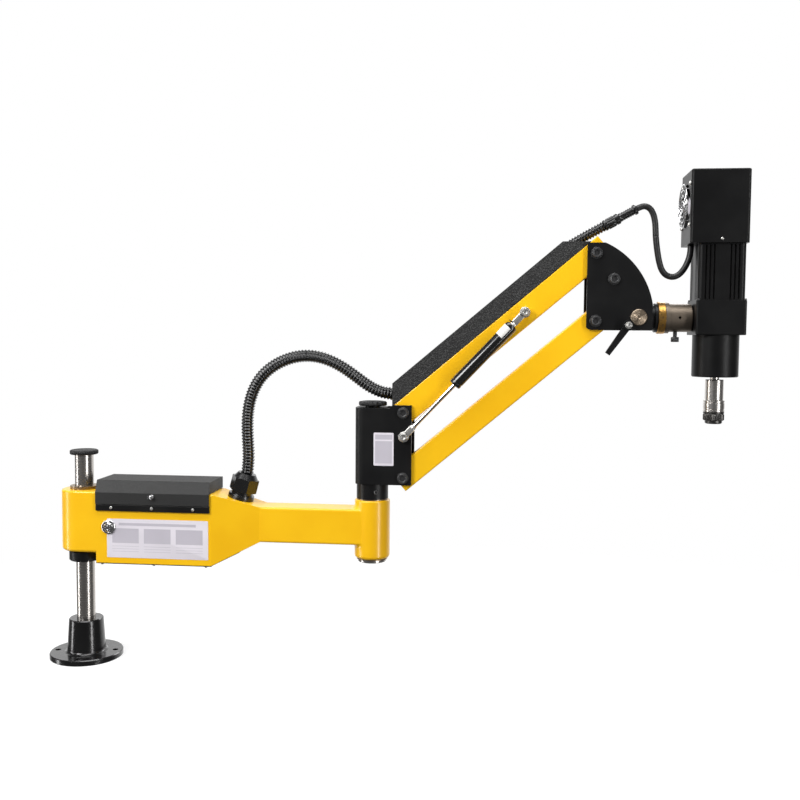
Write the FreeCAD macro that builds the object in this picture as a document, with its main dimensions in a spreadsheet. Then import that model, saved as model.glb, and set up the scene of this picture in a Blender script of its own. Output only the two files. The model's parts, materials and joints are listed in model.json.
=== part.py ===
"""An arm tapping machine: a bench flange and column carry a swinging base arm,
a parallelogram arm with a gas spring, and a tilting head with motor and tap chuck.

Lengths are in millimetres. The origin is the centre of the flange's underside,
on the column's axis. X runs out along the arm, Y to the back, and Z up.
"""
import FreeCAD, Part
import math
import os
import Sketcher

Vector = FreeCAD.Vector

DRIVING_SIZES = [
    # flange and column
    ("flange_diameter", 138.0),
    ("flange_thickness", 11.0),
    ("flange_edge", 1.5),
    ("bolt_edge_distance", 13.5),
    ("bolt_hole_diameter", 11.0),
    ("bolt_hole_turn_angle", 8.0),
    ("boss_wall", 15.0),
    ("boss_taper", 3.5),
    ("boss_flare", 6.0),
    ("base_height", 76.0),
    ("column_diameter", 35.0),
    ("column_floor", 6.0),
    ("column_rise", 66.5),
    ("column_edge", 1.0),
    ("cap_overhang", 9.0),
    ("cap_thickness", 8.5),
    ("cap_edge", 1.2),
    ("cap_spigot_diameter", 12.0),
    ("cap_spigot_depth", 14.0),
    # fits
    ("running_gap", 0.05),
    ("face_gap", 0.1),
    ("soft_gap", 0.3),
    ("cut_overrun", 4.0),
    # stop collar below the base arm
    ("collar_wall", 12.5),
    ("collar_height", 20.0),
    ("collar_edge", 2.0),
    ("collar_slit", 2.5),
    ("collar_screw_diameter", 8.0),
    ("collar_screw_head_diameter", 13.0),
    ("collar_screw_head_length", 8.0),
    ("collar_screw_gap", 1.5),
    ("collar_screw_length", 30.0),
    # base arm casting
    ("hub_bottom", 213.0),
    ("hub_height", 117.0),
    ("hub_diameter", 84.0),
    ("box_left", 40.0),
    ("box_length", 224.5),
    ("box_drop", 18.0),
    ("box_wall", 6.0),
    ("taper_length", 88.5),
    ("arm_rise", 27.0),
    ("arm_height", 66.5),
    ("arm_depth", 58.0),
    ("arm_reach", 563.0),
    ("swing_hub_diameter", 66.0),
    ("swing_hub_height", 110.4),
    ("casting_edge", 4.0),
    ("hub_rim_edge", 6.0),
    ("arm_root_radius", 8.0),
    ("console_opening_inset", 12.0),
    ("bush_wall", 3.0),
    ("bush_flange_thickness", 2.0),
    ("bush_flange_reach", 6.0),
    ("bush_length", 32.0),
    ("seal_height", 6.0),
    ("cover_plate_thickness", 1.5),
    ("cover_plate_reach", 50.0),
    ("panel_screw_diameter", 6.0),
    ("panel_screw_height", 2.2),
    # console
    ("lid_inset", 1.5),
    ("lid_end_gap", 2.5),
    ("lid_skirt_height", 22.0),
    ("lid_slope_back", 9.5),
    ("lid_rise", 22.5),
    ("lid_wall", 1.5),
    ("lid_clearance", 0.5),
    ("strip_height", 13.0),
    ("strip_thickness", 4.5),
    ("lid_knob_diameter", 9.5),
    ("lid_knob_length", 9.0),
    ("lid_knob_drop", 6.5),
    ("hinge_pin_diameter", 3.0),
    ("hinge_barrel_diameter", 5.0),
    ("hinge_offset", 3.0),
    ("hinge_leaf_height", 22.0),
    ("hinge_inset", 24.0),
    ("hinge_length", 50.0),
    ("panel_thickness", 3.0),
    ("panel_edge", 5.0),
    ("screen_length", 112.0),
    ("screen_depth", 58.0),
    ("screen_inset", 30.0),
    ("screen_recess", 0.8),
    ("driver_length", 96.0),
    ("driver_depth", 52.0),
    ("driver_height", 88.0),
    ("driver_gap", 14.5),
    ("driver_fin", 2.5),
    ("button_inset", 25.6),
    ("button_drop", 66.2),
    ("bezel_reach", 4.0),
    ("bezel_thickness", 3.5),
    ("barrel_wall", 1.5),
    ("bezel_barrel_length", 24.0),
    ("button_diameter", 16.0),
    ("button_proud", 3.0),
    ("button_travel", 2.5),
    # cable gland on the slope
    ("gland_along", 45.5),
    ("gland_flange_reach", 5.0),
    ("gland_flange_thickness", 9.0),
    ("gland_neck_diameter", 40.0),
    ("gland_neck_length", 6.0),
    ("gland_nut_lip", 3.0),
    ("gland_nut_length", 26.0),
    ("gland_dome_length", 9.0),
    ("gland_dome_wall", 5.0),
    ("gland_grip", 2.0),
    # swing bracket
    ("post_tube_gap", 3.0),
    ("post_tube_wall", 3.0),
    ("post_collar_diameter", 59.0),
    ("post_collar_height", 29.0),
    ("bracket_headroom", 8.4),
    ("bracket_step", 5.5),
    ("step_inset", 25.0),
    ("step_run", 5.0),
    ("bracket_tube_gap", 1.0),
    ("bracket_front_edge", 15.5),
    ("link_side_gap", 1.0),
    ("plate_thickness", 6.0),
    ("bracket_bend", 17.0),
    ("bracket_cap_thickness", 6.0),
    ("retainer_diameter", 53.6),
    ("retainer_height", 5.0),
    ("lock_knob_diameter", 53.0),
    ("lock_knob_height", 7.0),
    ("lock_neck_diameter", 36.0),
    ("lock_neck_height", 4.0),
    ("lock_knob_flutes", 30.0),
    # parallelogram arm
    ("pivot_offset", 60.0),
    ("lower_pivot_rise", 13.1),
    ("pivot_spacing", 120.0),
    ("link_length", 448.0),
    ("link_angle", 40.2),
    ("link_height", 44.8),
    ("link_depth", 50.0),
    ("link_wall", 3.0),
    ("link_tail", 12.0),
    ("link_nose", 21.0),
    ("pivot_bolt_diameter", 12.0),
    ("pivot_bush_diameter", 20.0),
    ("bolt_head_diameter", 21.0),
    ("bolt_head_height", 7.0),
    ("bolt_socket_flats", 10.0),
    ("bolt_socket_depth", 4.0),
    ("nut_height", 8.0),
    ("nut_diameter", 20.0),
    # cable cover on the upper link
    ("trunk_height", 32.1),
    ("trunk_wall", 1.5),
    ("trunk_overhang", 8.6),
    ("trunk_past_end", 6.5),
    ("tail_hole_back", 34.0),
    ("tail_hole_rise", 43.7),
    ("tail_hole_angle", 59.4),
    # gas spring
    ("spring_drop", 43.0),
    ("spring_foot_offset", 2.0),
    ("spring_seat", 285.0),
    ("spring_side_gap", 1.5),
    ("spring_pin_diameter", 8.0),
    ("spring_eye_diameter", 18.0),
    ("spring_eye_width", 9.0),
    ("spring_neck_inset", 0.3),
    ("spring_washer_thickness", 2.0),
    ("rod_diameter", 8.0),
    ("rod_end_gap", 88.1),
    ("cylinder_link_gap", 1.5),
    ("cylinder_wall", 1.6),
    ("cylinder_length", 150.0),
    ("cylinder_neck", 22.0),
    # head bracket
    ("head_plate_left", 16.0),
    ("head_plate_top", 18.3),
    ("head_plate_bottom", 15.7),
    ("head_plate_flat", 15.4),
    ("head_plate_nose", 23.6),
    ("head_plate_shoulder", 30.3),
    ("head_plate_arc", 147.0),
    ("head_plate_corner", 8.0),
    ("spacer_right", 31.1),
    ("spacer_drop", 45.7),
    ("spacer_diameter", 20.0),
    ("tilt_pin_right", 75.4),
    ("tilt_pin_rise", 6.8),
    ("tilt_pin_diameter", 29.0),
    ("tilt_pin_proud", 3.0),
    ("tilt_pin_edge", 1.5),
    # knuckle and roll joint
    ("knuckle_diameter", 46.0),
    ("knuckle_flange_diameter", 52.0),
    ("knuckle_flange_thickness", 5.0),
    ("ring_distance", 35.3),
    ("ring_diameter", 57.0),
    ("ring_width", 13.0),
    ("ring_flange_width", 7.0),
    ("roll_shaft_diameter", 32.0),
    ("sleeve_diameter", 50.0),
    ("sleeve_length", 41.1),
    ("sleeve_edge", 3.0),
    ("thumb_offset", 13.0),
    ("thumb_stem_diameter", 7.0),
    ("thumb_head_diameter", 14.0),
    ("thumb_head_height", 9.0),
    ("thumb_stem_length", 9.0),
    ("lever_gap", 0.2),
    ("lever_place_angle", 36.8),
    ("lever_hub_diameter", 18.0),
    ("lever_hub_length", 14.0),
    ("lever_length", 62.0),
    ("lever_width", 13.0),
    ("lever_tip_width", 9.0),
    ("lever_thickness", 8.0),
    ("lever_angle", 55.0),
    ("lever_stud_diameter", 8.0),
    # head
    ("gear_width", 86.0),
    ("gear_drop", 30.1),
    ("gear_height", 60.0),
    ("gear_edge", 4.0),
    ("motor_width", 81.0),
    ("motor_height", 99.5),
    ("motor_edge", 8.0),
    ("motor_foot", 2.0),
    ("fin_width", 3.0),
    ("fin_depth", 3.0),
    ("fin_pitch", 7.0),
    ("drive_box_left", 57.0),
    ("drive_box_right", 43.5),
    ("fan_side_gap", 5.0),
    ("fan_headroom", 19.0),
    ("drive_box_edge", 5.0),
    ("drive_box_wall", 2.0),
    ("fan_rise", 68.0),
    ("fan_width", 80.0),
    ("fan_rim", 2.0),
    ("fan_frame_depth", 25.0),
    ("fan_hub_diameter", 34.0),
    ("fan_blade_thickness", 1.6),
    ("fan_blade_tip_gap", 1.5),
    ("fan_blade_pitch_angle", 38.0),
    ("guard_wire", 1.8),
    ("guard_stand_off", 6.0),
    ("housing_diameter", 80.5),
    ("housing_length", 74.5),
    ("housing_edge", 1.5),
    ("housing_mouth_diameter", 30.0),
    ("spindle_neck_diameter", 16.0),
    ("spindle_depth", 40.0),
    ("chuck_gap", 5.0),
    ("chuck_diameter", 32.0),
    ("chuck_length", 58.0),
    ("chuck_sleeve_wall", 2.5),
    ("chuck_sleeve_height", 21.5),
    ("collet_lip", 2.3),
    ("collet_height", 15.0),
    ("collet_step", 3.3),
    ("collet_tip_height", 6.0),
    ("collet_flutes", 24.0),
    ("tap_bore_diameter", 9.0),
    ("tap_bore_length", 26.0),
    # hose and cable
    ("hose_diameter", 24.0),
    ("hose_groove_depth", 1.5),
    ("hose_bore", 18.0),
    ("rib_pitch", 5.2),
    ("tail_diameter", 19.0),
    ("tail_bore", 14.0),
    ("fitting_diameter", 20.0),
    ("sleeve_hole_diameter", 5.0),
    ("sleeve_hole_along", 17.0),
    ("fitting_length", 30.0),
    ("relief_diameter", 15.5),
    ("relief_length", 34.0),
    ("cable_diameter", 11.0),
]

# The hose's route from the gland to the cable cover, and the cable's route from
# its strain relief to the drive box: places in the XZ plane, as they hang.
HOSE_LOWER_ROUTE = [(329.0, 417.3), (326.1, 445.2), (326.6, 473.2), (329.0, 501.2), (336.6, 528.1),
                    (351.6, 551.7), (372.7, 570.0), (397.7, 582.8), (424.8, 589.8)]
HOSE_TOP = (438.8, 589.8)
HOSE_UPPER_ROUTE = [(452.8, 589.8), (479.9, 582.8), (505.0, 570.3), (527.6, 553.7), (550.5, 534.8),
                    (568.3, 525.0), (585.0, 520.6)]
HOSE_END_HEIGHT = 520.6
TAIL_ROUTE = [(911.0, 788.2), (934.0, 801.8), (957.0, 815.0), (980.0, 827.3)]
CABLE_FIRST_ROUTE = [(1053.0, 859.6), (1061.0, 850.0), (1067.0, 835.0), (1070.0, 820.5)]
CABLE_FIRST_END = (1071.2, 808.5)
CABLE_MIDDLE_ROUTE = [(1072.5, 795.5), (1075.3, 777.0), (1078.6, 761.0), (1083.0, 748.3), (1090.4, 739.4)]
CABLE_MIDDLE_END = (1096.4, 737.6)
CABLE_LAST_ROUTE = [(1102.4, 735.8), (1112.9, 740.0), (1121.0, 749.2), (1127.3, 761.0), (1132.5, 778.5)]
CABLE_END_LEFT = 1132.5
CABLE_LEAD_SHARE = 0.8


class Size:
    """A size from the sheet, or a sum of them: its number, and its text for binding."""

    def __init__(self, value, text):
        self.value = value
        self.text = text

    def __add__(self, other):
        other = as_size(other)
        return Size(self.value + other.value, "(%s + %s)" % (self.text, other.text))

    def __radd__(self, other):
        return as_size(other) + self

    def __sub__(self, other):
        other = as_size(other)
        return Size(self.value - other.value, "(%s - %s)" % (self.text, other.text))

    def __rsub__(self, other):
        return as_size(other) - self

    def __mul__(self, other):
        other = as_size(other)
        return Size(self.value * other.value, "(%s * %s)" % (self.text, other.text))

    def __rmul__(self, other):
        return as_size(other) * self

    def __truediv__(self, other):
        other = as_size(other)
        return Size(self.value / other.value, "(%s / %s)" % (self.text, other.text))

    def __neg__(self):
        return Size(-self.value, "(-1 * %s)" % self.text)


def as_size(number):
    if isinstance(number, Size):
        return number
    return Size(float(number), "%.9g" % number)


def cosine(angle):
    return Size(math.cos(math.radians(angle.value)), "cos(%s)" % angle.text)


def sine(angle):
    return Size(math.sin(math.radians(angle.value)), "sin(%s)" % angle.text)


def slope_angle(rise, run):
    return Size(math.degrees(math.atan2(rise.value, run.value)), "atan(%s / %s)" % (rise.text, run.text))


class Sheet:
    """The driving sizes, one spreadsheet row and one attribute each."""

    def __init__(self, document, rows):
        self.sheet = document.addObject("Spreadsheet::Sheet", "dims")
        for row, (name, value) in enumerate(rows, start=1):
            self.sheet.set("A%d" % row, name)
            self.sheet.set("B%d" % row, "%.9g" % value)
            self.sheet.setAlias("B%d" % row, name)
            unit = " * 1 deg" if name.endswith("_angle") else ""
            setattr(self, name, Size(value, "dims." + name + unit))
        document.recompute()


def tangent(angle):
    return Size(math.tan(math.radians(angle.value)), "tan(%s)" % angle.text)


def distance(run, rise):
    length = math.hypot(run.value, rise.value)
    return Size(length, "sqrt((%s) ^ 2 + (%s) ^ 2)" % (run.text, rise.text))


doc = FreeCAD.newDocument("arm_tapping_machine")
d = Sheet(doc, DRIVING_SIZES)
parts = []

# flange and column, from the column's diameter and the hub's place on it
d.bolt_circle_diameter = d.flange_diameter - d.bolt_edge_distance * 2
d.boss_top_diameter = d.column_diameter + d.boss_wall * 2
d.boss_foot_diameter = d.boss_top_diameter + d.boss_taper * 2
d.cap_diameter = d.column_diameter + d.cap_overhang * 2
d.collar_diameter = d.column_diameter + d.collar_wall * 2
d.collar_screw_offset = (d.column_diameter + d.collar_screw_diameter) / 2 + d.collar_screw_gap
d.hub_top = d.hub_bottom + d.hub_height
d.column_top = d.hub_top + d.column_rise

# base arm, console and button
d.box_depth = d.hub_diameter
d.box_right = d.box_left + d.box_length
d.box_bottom = d.hub_bottom - d.box_drop
d.taper_end = d.box_right + d.taper_length
d.arm_bottom = d.hub_bottom + d.arm_rise
d.arm_top = d.arm_bottom + d.arm_height
d.swing_hub_top = d.hub_bottom + d.swing_hub_height
d.cover_plate_end = d.box_right + d.cover_plate_reach
d.lid_left = d.box_left + d.lid_inset
d.lid_right = d.box_right - d.lid_end_gap
d.lid_front = d.box_depth / 2 + d.strip_thickness
d.lid_back = d.box_depth / 2 + d.lid_wall
d.lid_skirt_bottom = d.hub_top - d.lid_skirt_height
d.lid_top = d.hub_top + d.lid_rise
d.lid_knob_left = (d.lid_left + d.lid_right) / 2
d.driver_left = d.box_right - d.box_wall - d.driver_gap - d.driver_length
d.button_left = d.box_left + d.button_inset
d.button_height = d.hub_top - d.button_drop
d.bezel_barrel_diameter = d.button_diameter + d.barrel_wall * 2
d.bezel_diameter = d.bezel_barrel_diameter + d.bezel_reach * 2
d.gland_left = d.box_right + d.gland_along
d.gland_flange_diameter = d.gland_neck_diameter + d.gland_flange_reach * 2
d.gland_nut_flats = d.gland_neck_diameter + d.gland_nut_lip * 2
d.gland_dome_diameter = d.hose_diameter + d.gland_dome_wall * 2
d.gland_bore = d.hose_diameter - d.gland_grip * 2

# swing bracket, round the links and the post's tube
d.bracket_depth = d.link_depth + (d.link_side_gap + d.plate_thickness) * 2
d.post_tube_diameter = d.bracket_depth - (d.plate_thickness + d.post_tube_gap) * 2
d.post_diameter = d.post_tube_diameter - d.post_tube_wall * 2
d.bracket_bottom = d.swing_hub_top + d.bush_flange_thickness + d.face_gap + d.post_collar_height
d.upper_pivot_height = d.bracket_bottom + d.lower_pivot_rise + d.pivot_spacing
d.bracket_top = d.upper_pivot_height + d.bracket_headroom
d.bracket_back = d.post_tube_diameter / 2 + d.bracket_tube_gap + d.plate_thickness
d.bracket_front = d.pivot_offset + d.bracket_front_edge

# gas spring, beside the bracket's plate and the link
d.spring_stand_off = d.bracket_depth / 2 + d.spring_side_gap + d.spring_eye_width / 2
d.cylinder_diameter = (d.spring_stand_off - d.link_depth / 2 - d.cylinder_link_gap) * 2

# head, from the tilt pin outwards
d.head_plate_right = d.tilt_pin_right + d.head_plate_nose
d.lever_reach = (d.tilt_pin_diameter + d.lever_hub_diameter) / 2 + d.lever_gap
d.lever_left = d.lever_reach * cosine(d.lever_place_angle)
d.lever_drop = d.lever_reach * sine(d.lever_place_angle)
d.far_pivot_x = d.arm_reach + d.pivot_offset + d.link_length * cosine(d.link_angle)
d.far_pivot_z = d.upper_pivot_height - d.pivot_spacing + d.link_length * sine(d.link_angle)
d.tilt_x = d.far_pivot_x + d.tilt_pin_right
d.tilt_z = d.far_pivot_z + d.tilt_pin_rise
d.sleeve_start = d.ring_distance + d.ring_width + d.ring_flange_width
d.spindle_reach = d.tilt_x + d.sleeve_start + d.sleeve_length + d.gear_width / 2
d.gear_bottom = d.tilt_z - d.gear_drop
d.gear_top = d.gear_bottom + d.gear_height
d.motor_top = d.gear_top + d.motor_height
d.fan_height = d.motor_top + d.fan_rise
d.fan_bore = d.fan_width - d.fan_rim * 2
d.drive_box_depth = d.fan_width + (d.fan_side_gap + d.drive_box_wall) * 2
d.drive_box_top = d.fan_height + d.fan_width / 2 + d.fan_headroom
d.housing_bottom = d.gear_bottom - d.housing_length
d.chuck_top = d.housing_bottom - d.chuck_gap
d.chuck_bottom = d.chuck_top - d.chuck_length
d.chuck_sleeve_diameter = d.chuck_diameter + d.chuck_sleeve_wall * 2
d.collet_diameter = d.chuck_diameter + d.collet_lip * 2
d.collet_tip_diameter = d.collet_diameter - d.collet_step * 2


def bind(thing, prop, size):
    """Tie one property to a sum of sheet sizes."""
    thing.setExpression(prop, as_size(size).text)


def place(thing, x=0, y=0, z=0, axis=None, angle=0):
    """Put a sub-part in the frame, turned about one axis."""
    if axis is not None:
        turn = FreeCAD.Rotation(axis, as_size(angle).value)
        thing.Placement = FreeCAD.Placement(Vector(0, 0, 0), turn)
        if isinstance(angle, Size):
            bind(thing, "Placement.Rotation.Angle", angle)
    for letter, size in (("x", x), ("y", y), ("z", z)):
        bind(thing, "Placement.Base." + letter, size)


def new_body(label, **where):
    body = doc.addObject("PartDesign::Body", label)
    body.Label = label
    place(body, **where)
    parts.append(body)
    return body


def new_sketch(body, plane, lift=None):
    """A sketch on one of the body's origin planes, lifted along its normal."""
    sketch = body.newObject("Sketcher::SketchObject", body.Name + "_sketch")
    support = [item for item in body.Origin.OriginFeatures if item.Role == plane + "_Plane"][0]
    sketch.AttachmentSupport = [(support, "")]
    sketch.MapMode = "FlatFace"
    if lift is not None:
        bind(sketch, "AttachmentOffset.Base.z", lift)
    return sketch


def pin_point(sketch, rules, geometry, end, x, y):
    """Two dimensions from the sketch's origin hold one point."""
    for kind, size in (("DistanceX", as_size(x)), ("DistanceY", as_size(y))):
        rules.append((Sketcher.Constraint(kind, -1, 1, geometry, end, size.value), size))


def add_rules(sketch, rules):
    first = sketch.ConstraintCount
    sketch.addConstraint([rule for rule, size in rules])
    for number, (rule, size) in enumerate(rules, start=first):
        if size is not None and "dims." in size.text:
            sketch.renameConstraint(number, "size_%d" % number)
            bind(sketch, "Constraints.size_%d" % number, size)


def outline(sketch, corners):
    """A closed outline. A corner is (x, y), or (x, y, radius) where an arc of that
    radius bulges to the right of the way to the next corner."""
    start = sketch.GeometryCount
    count = len(corners)
    spots = [Vector(as_size(corner[0]).value, as_size(corner[1]).value, 0) for corner in corners]
    rules = []
    ends = []
    for index, corner in enumerate(corners):
        here, there = spots[index], spots[(index + 1) % count]
        if len(corner) == 2:
            sketch.addGeometry(Part.LineSegment(here, there), False)
            ends.append((1, 2))
            continue
        radius = corner[2]
        chord = there - here
        middle = (here + there) * 0.5
        left = Vector(-chord.y, chord.x, 0).normalize()
        rise = math.sqrt(max(radius.value ** 2 - (chord.Length / 2) ** 2, 0))
        centre = middle + left * rise
        turns = [math.atan2(spot.y - centre.y, spot.x - centre.x) for spot in (here, there)]
        circle = Part.Circle(centre, Vector(0, 0, 1), radius.value)
        if turns[1] < turns[0]:
            turns[1] += 2 * math.pi
        sketch.addGeometry(Part.ArcOfCircle(circle, turns[0], turns[1]), False)
        ends.append((1, 2))
        rules.append((Sketcher.Constraint("Radius", start + index, radius.value), radius))
    for index in range(count):
        following = (index + 1) % count
        join = Sketcher.Constraint(
            "Coincident", start + index, ends[index][1], start + following, ends[following][0])
        rules.append((join, None))
        pin_point(sketch, rules, start + index, ends[index][0], corners[index][0], corners[index][1])
    add_rules(sketch, rules)
    return sketch


def ring(sketch, x, y, radius):
    number = sketch.GeometryCount
    centre = Vector(as_size(x).value, as_size(y).value, 0)
    sketch.addGeometry(Part.Circle(centre, Vector(0, 0, 1), radius.value), False)
    rules = [(Sketcher.Constraint("Radius", number, radius.value), radius)]
    pin_point(sketch, rules, number, 3, x, y)
    add_rules(sketch, rules)
    return sketch


def block(sketch, left, low, right, high):
    return outline(sketch, [(left, low), (right, low), (right, high), (left, high)])


def hexagon(sketch, flats):
    corner = flats / (2 * cosine(Size(30.0, "30")))
    turns = [Size(60.0 * number, "%d" % (60 * number)) for number in range(6)]
    return outline(sketch, [(corner * cosine(turn), corner * sine(turn)) for turn in turns])


def pad(body, sketch, length, middle=False, back=False):
    feature = body.newObject("PartDesign::Pad", body.Name + "_pad")
    feature.Profile = sketch
    bind(feature, "Length", length)
    if middle:
        feature.SideType = "Symmetric"
    feature.Reversed = back
    doc.recompute()
    return feature


def pocket(body, sketch, length, middle=False, back=False):
    """Cut, and make sure that the cut took something away."""
    before = body.Shape.Volume
    feature = body.newObject("PartDesign::Pocket", body.Name + "_pocket")
    feature.Profile = sketch
    bind(feature, "Length", length)
    if middle:
        feature.SideType = "Symmetric"
    feature.Reversed = back
    doc.recompute()
    if body.Shape.Volume >= before:
        raise RuntimeError("a pocket in %s cuts nothing" % body.Label)
    return feature


def spin(body, sketch, axis="V_Axis"):
    feature = body.newObject("PartDesign::Revolution", body.Name + "_turned")
    feature.Profile = sketch
    feature.ReferenceAxis = (sketch, [axis])
    feature.Angle = 360
    doc.recompute()
    return feature


def groove(body, sketch, axis="V_Axis"):
    before = body.Shape.Volume
    feature = body.newObject("PartDesign::Groove", body.Name + "_groove")
    feature.Profile = sketch
    feature.ReferenceAxis = (sketch, [axis])
    feature.Angle = 360
    doc.recompute()
    if body.Shape.Volume >= before:
        raise RuntimeError("a groove in %s cuts nothing" % body.Label)
    return feature


def around(body, feature, count, axis="Z"):
    """Repeat a feature round one of the body's own axes."""
    pattern = body.newObject("PartDesign::PolarPattern", body.Name + "_pattern")
    pattern.Originals = [feature]
    line = [item for item in body.Origin.OriginFeatures if item.Role == axis + "_Axis"][0]
    pattern.Axis = (line, [""])
    pattern.Angle = 360
    pattern.Occurrences = int(count)
    body.Tip = pattern
    doc.recompute()
    return pattern


def in_line(body, feature, axis, length, count):
    """Repeat a feature along one of the body's own axes."""
    pattern = body.newObject("PartDesign::LinearPattern", body.Name + "_row")
    pattern.Originals = [feature]
    line = [item for item in body.Origin.OriginFeatures if item.Role == axis + "_Axis"][0]
    pattern.Direction = (line, [""])
    bind(pattern, "Length", length)
    pattern.Occurrences = int(count)
    body.Tip = pattern
    doc.recompute()
    return pattern


def soften(body, radius, wanted, kind="PartDesign::Fillet"):
    """Round or bevel the edges of the tip that the test picks."""
    tip = body.Tip
    names = ["Edge%d" % (number + 1) for number, edge in enumerate(tip.Shape.Edges) if wanted(edge)]
    if not names:
        raise RuntimeError("no edge to soften in %s" % body.Label)
    feature = body.newObject(kind, body.Name + "_edge")
    feature.Base = (tip, names)
    bind(feature, "Radius" if kind == "PartDesign::Fillet" else "Size", radius)
    doc.recompute()
    if "Invalid" in feature.State or feature.Shape.isNull() or not feature.Shape.isValid():
        raise RuntimeError("%s could not be made" % feature.Name)
    return feature


def bevel(body, size, wanted):
    return soften(body, size, wanted, "PartDesign::Chamfer")


def near(value, size):
    return abs(value - as_size(size).value) < 1e-4


def upright(edge):
    """Whether an edge runs straight along the body's Z axis."""
    if not isinstance(edge.Curve, (Part.Line, Part.LineSegment)):
        return False
    return abs(edge.Curve.Direction.z) > 1 - 1e-6


def turned(label, profile, **where):
    """A body turned about its own Z axis from an outline of (radius, height)."""
    body = new_body(label, **where)
    spin(body, outline(new_sketch(body, "XZ"), profile))
    return body


def piece(label, profile, **where):
    """A turned body that is only a piece of a sub-part."""
    body = turned(label, profile, **where)
    parts.remove(body)
    return body


def tube_profile(inner, outer, low, high, edge=None):
    """Half a tube's section, with its outer rims bevelled when an edge is given."""
    if edge is None:
        return [(inner, low), (outer, low), (outer, high), (inner, high)]
    return [(inner, low), (outer - edge, low), (outer, low + edge),
            (outer, high - edge), (outer - edge, high), (inner, high)]


def fuse(label, pieces, **where):
    """One sub-part of several primitives, joined or side by side."""
    joined = doc.addObject("Part::MultiFuse", label)
    joined.Label = label
    joined.Shapes = pieces
    doc.recompute()
    place(joined, **where)
    parts.append(joined)
    return joined


def plain(kind, **sizes):
    """A primitive whose named properties follow the sheet."""
    thing = doc.addObject("Part::" + kind, kind.lower())
    for prop, size in sizes.items():
        bind(thing, prop, size)
    return thing


def group(label, shapes):
    """A sub-part made of separate like solids."""
    thing = doc.addObject("Part::Feature", label)
    thing.Label = label
    thing.Shape = shapes[0] if len(shapes) == 1 else Part.makeCompound(shapes)
    parts.append(thing)
    return thing


COLUMN_RADIUS = d.column_diameter / 2
BORE_RADIUS = COLUMN_RADIUS + d.running_gap
X_AXIS, Y_AXIS, Z_AXIS = Vector(1, 0, 0), Vector(0, 1, 0), Vector(0, 0, 1)
RIGHT_ANGLE = Size(90.0, "90 deg")
HALF_TURN = Size(180.0, "180 deg")
STRIP_SCREW_SHARES = (0.14, 0.5, 0.86)
COVER_SCREW_SHARES = (0.05, 0.5, 0.95)


def make_stand():
    """The cast flange, the ground column pressed into it and the cap on its top."""
    rim = d.flange_diameter / 2
    foot = d.boss_foot_diameter / 2
    profile = [
        (0, 0), (0, d.column_floor), (COLUMN_RADIUS, d.column_floor), (COLUMN_RADIUS, d.base_height),
        (d.boss_top_diameter / 2 - d.flange_edge, d.base_height),
        (d.boss_top_diameter / 2, d.base_height - d.flange_edge),
        (foot, d.flange_thickness + d.boss_flare, d.boss_flare),
        (foot + d.boss_flare, d.flange_thickness), (rim - d.flange_edge, d.flange_thickness),
        (rim, d.flange_thickness - d.flange_edge), (rim, d.flange_edge), (rim - d.flange_edge, 0)]
    base = turned("base_flange", profile)
    spot = d.bolt_circle_diameter / 2
    holes = new_sketch(base, "XY")
    ring(holes, spot * cosine(d.bolt_hole_turn_angle), spot * sine(d.bolt_hole_turn_angle),
         d.bolt_hole_diameter / 2)
    hole = pocket(base, holes, (d.flange_thickness + d.cut_overrun) * 2, middle=True)
    around(base, hole, 4)

    edge = d.column_edge
    turned("column", [
        (0, d.column_floor), (COLUMN_RADIUS - edge, d.column_floor), (COLUMN_RADIUS, d.column_floor + edge),
        (COLUMN_RADIUS, d.column_top - edge), (COLUMN_RADIUS - edge, d.column_top),
        (d.cap_spigot_diameter / 2, d.column_top),
        (d.cap_spigot_diameter / 2, d.column_top - d.cap_spigot_depth),
        (0, d.column_top - d.cap_spigot_depth)])

    cap = d.cap_diameter / 2
    top = d.column_top + d.cap_thickness
    turned("column_cap", [
        (0, d.column_top - d.cap_spigot_depth),
        (d.cap_spigot_diameter / 2, d.column_top - d.cap_spigot_depth),
        (d.cap_spigot_diameter / 2, d.column_top), (cap - d.cap_edge, d.column_top),
        (cap, d.column_top + d.cap_edge), (cap, top - d.cap_edge), (cap - d.cap_edge, top), (0, top)])


def make_collar():
    """The split stop collar that holds the base arm up, with its clamp screw."""
    top = d.hub_bottom - d.bush_flange_thickness - d.face_gap
    low = top - d.collar_height
    collar = turned("stop_collar", tube_profile(BORE_RADIUS, d.collar_diameter / 2, low, top, d.collar_edge))
    beyond = d.collar_diameter / 2 + d.cut_overrun
    slit = block(new_sketch(collar, "YZ"), COLUMN_RADIUS - d.cut_overrun, low - d.cut_overrun,
                 beyond, top + d.cut_overrun)
    pocket(collar, slit, d.collar_slit, middle=True)
    height = low + d.collar_height / 2
    bore = ring(new_sketch(collar, "YZ"), d.collar_screw_offset, height, d.collar_screw_diameter / 2)
    pocket(collar, bore, d.collar_diameter, middle=True)
    reach = d.collar_screw_length / 2
    head = d.collar_screw_head_diameter / 2
    seat = block(new_sketch(collar, "YZ", reach - d.collar_screw_head_length),
                 d.collar_screw_offset - head, height - head, beyond, height + head)
    pocket(collar, seat, d.collar_diameter, back=True)
    screw = turned("collar_screw", [
        (0, -reach), (d.collar_screw_diameter / 2 - d.running_gap, -reach),
        (d.collar_screw_diameter / 2 - d.running_gap, reach - d.collar_screw_head_length),
        (head - d.running_gap, reach - d.collar_screw_head_length),
        (head - d.running_gap, reach), (0, reach)],
        y=d.collar_screw_offset, z=height, axis=Y_AXIS, angle=RIGHT_ANGLE)
    recess = hexagon(new_sketch(screw, "XY", reach), d.collar_screw_diameter * 3 / 4)
    pocket(screw, recess, d.collar_screw_head_length / 2)


def casting_slope():
    """Rise and run of the sloping top between the box and the arm."""
    return d.hub_top - d.arm_top, d.taper_end - d.box_right


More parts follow.
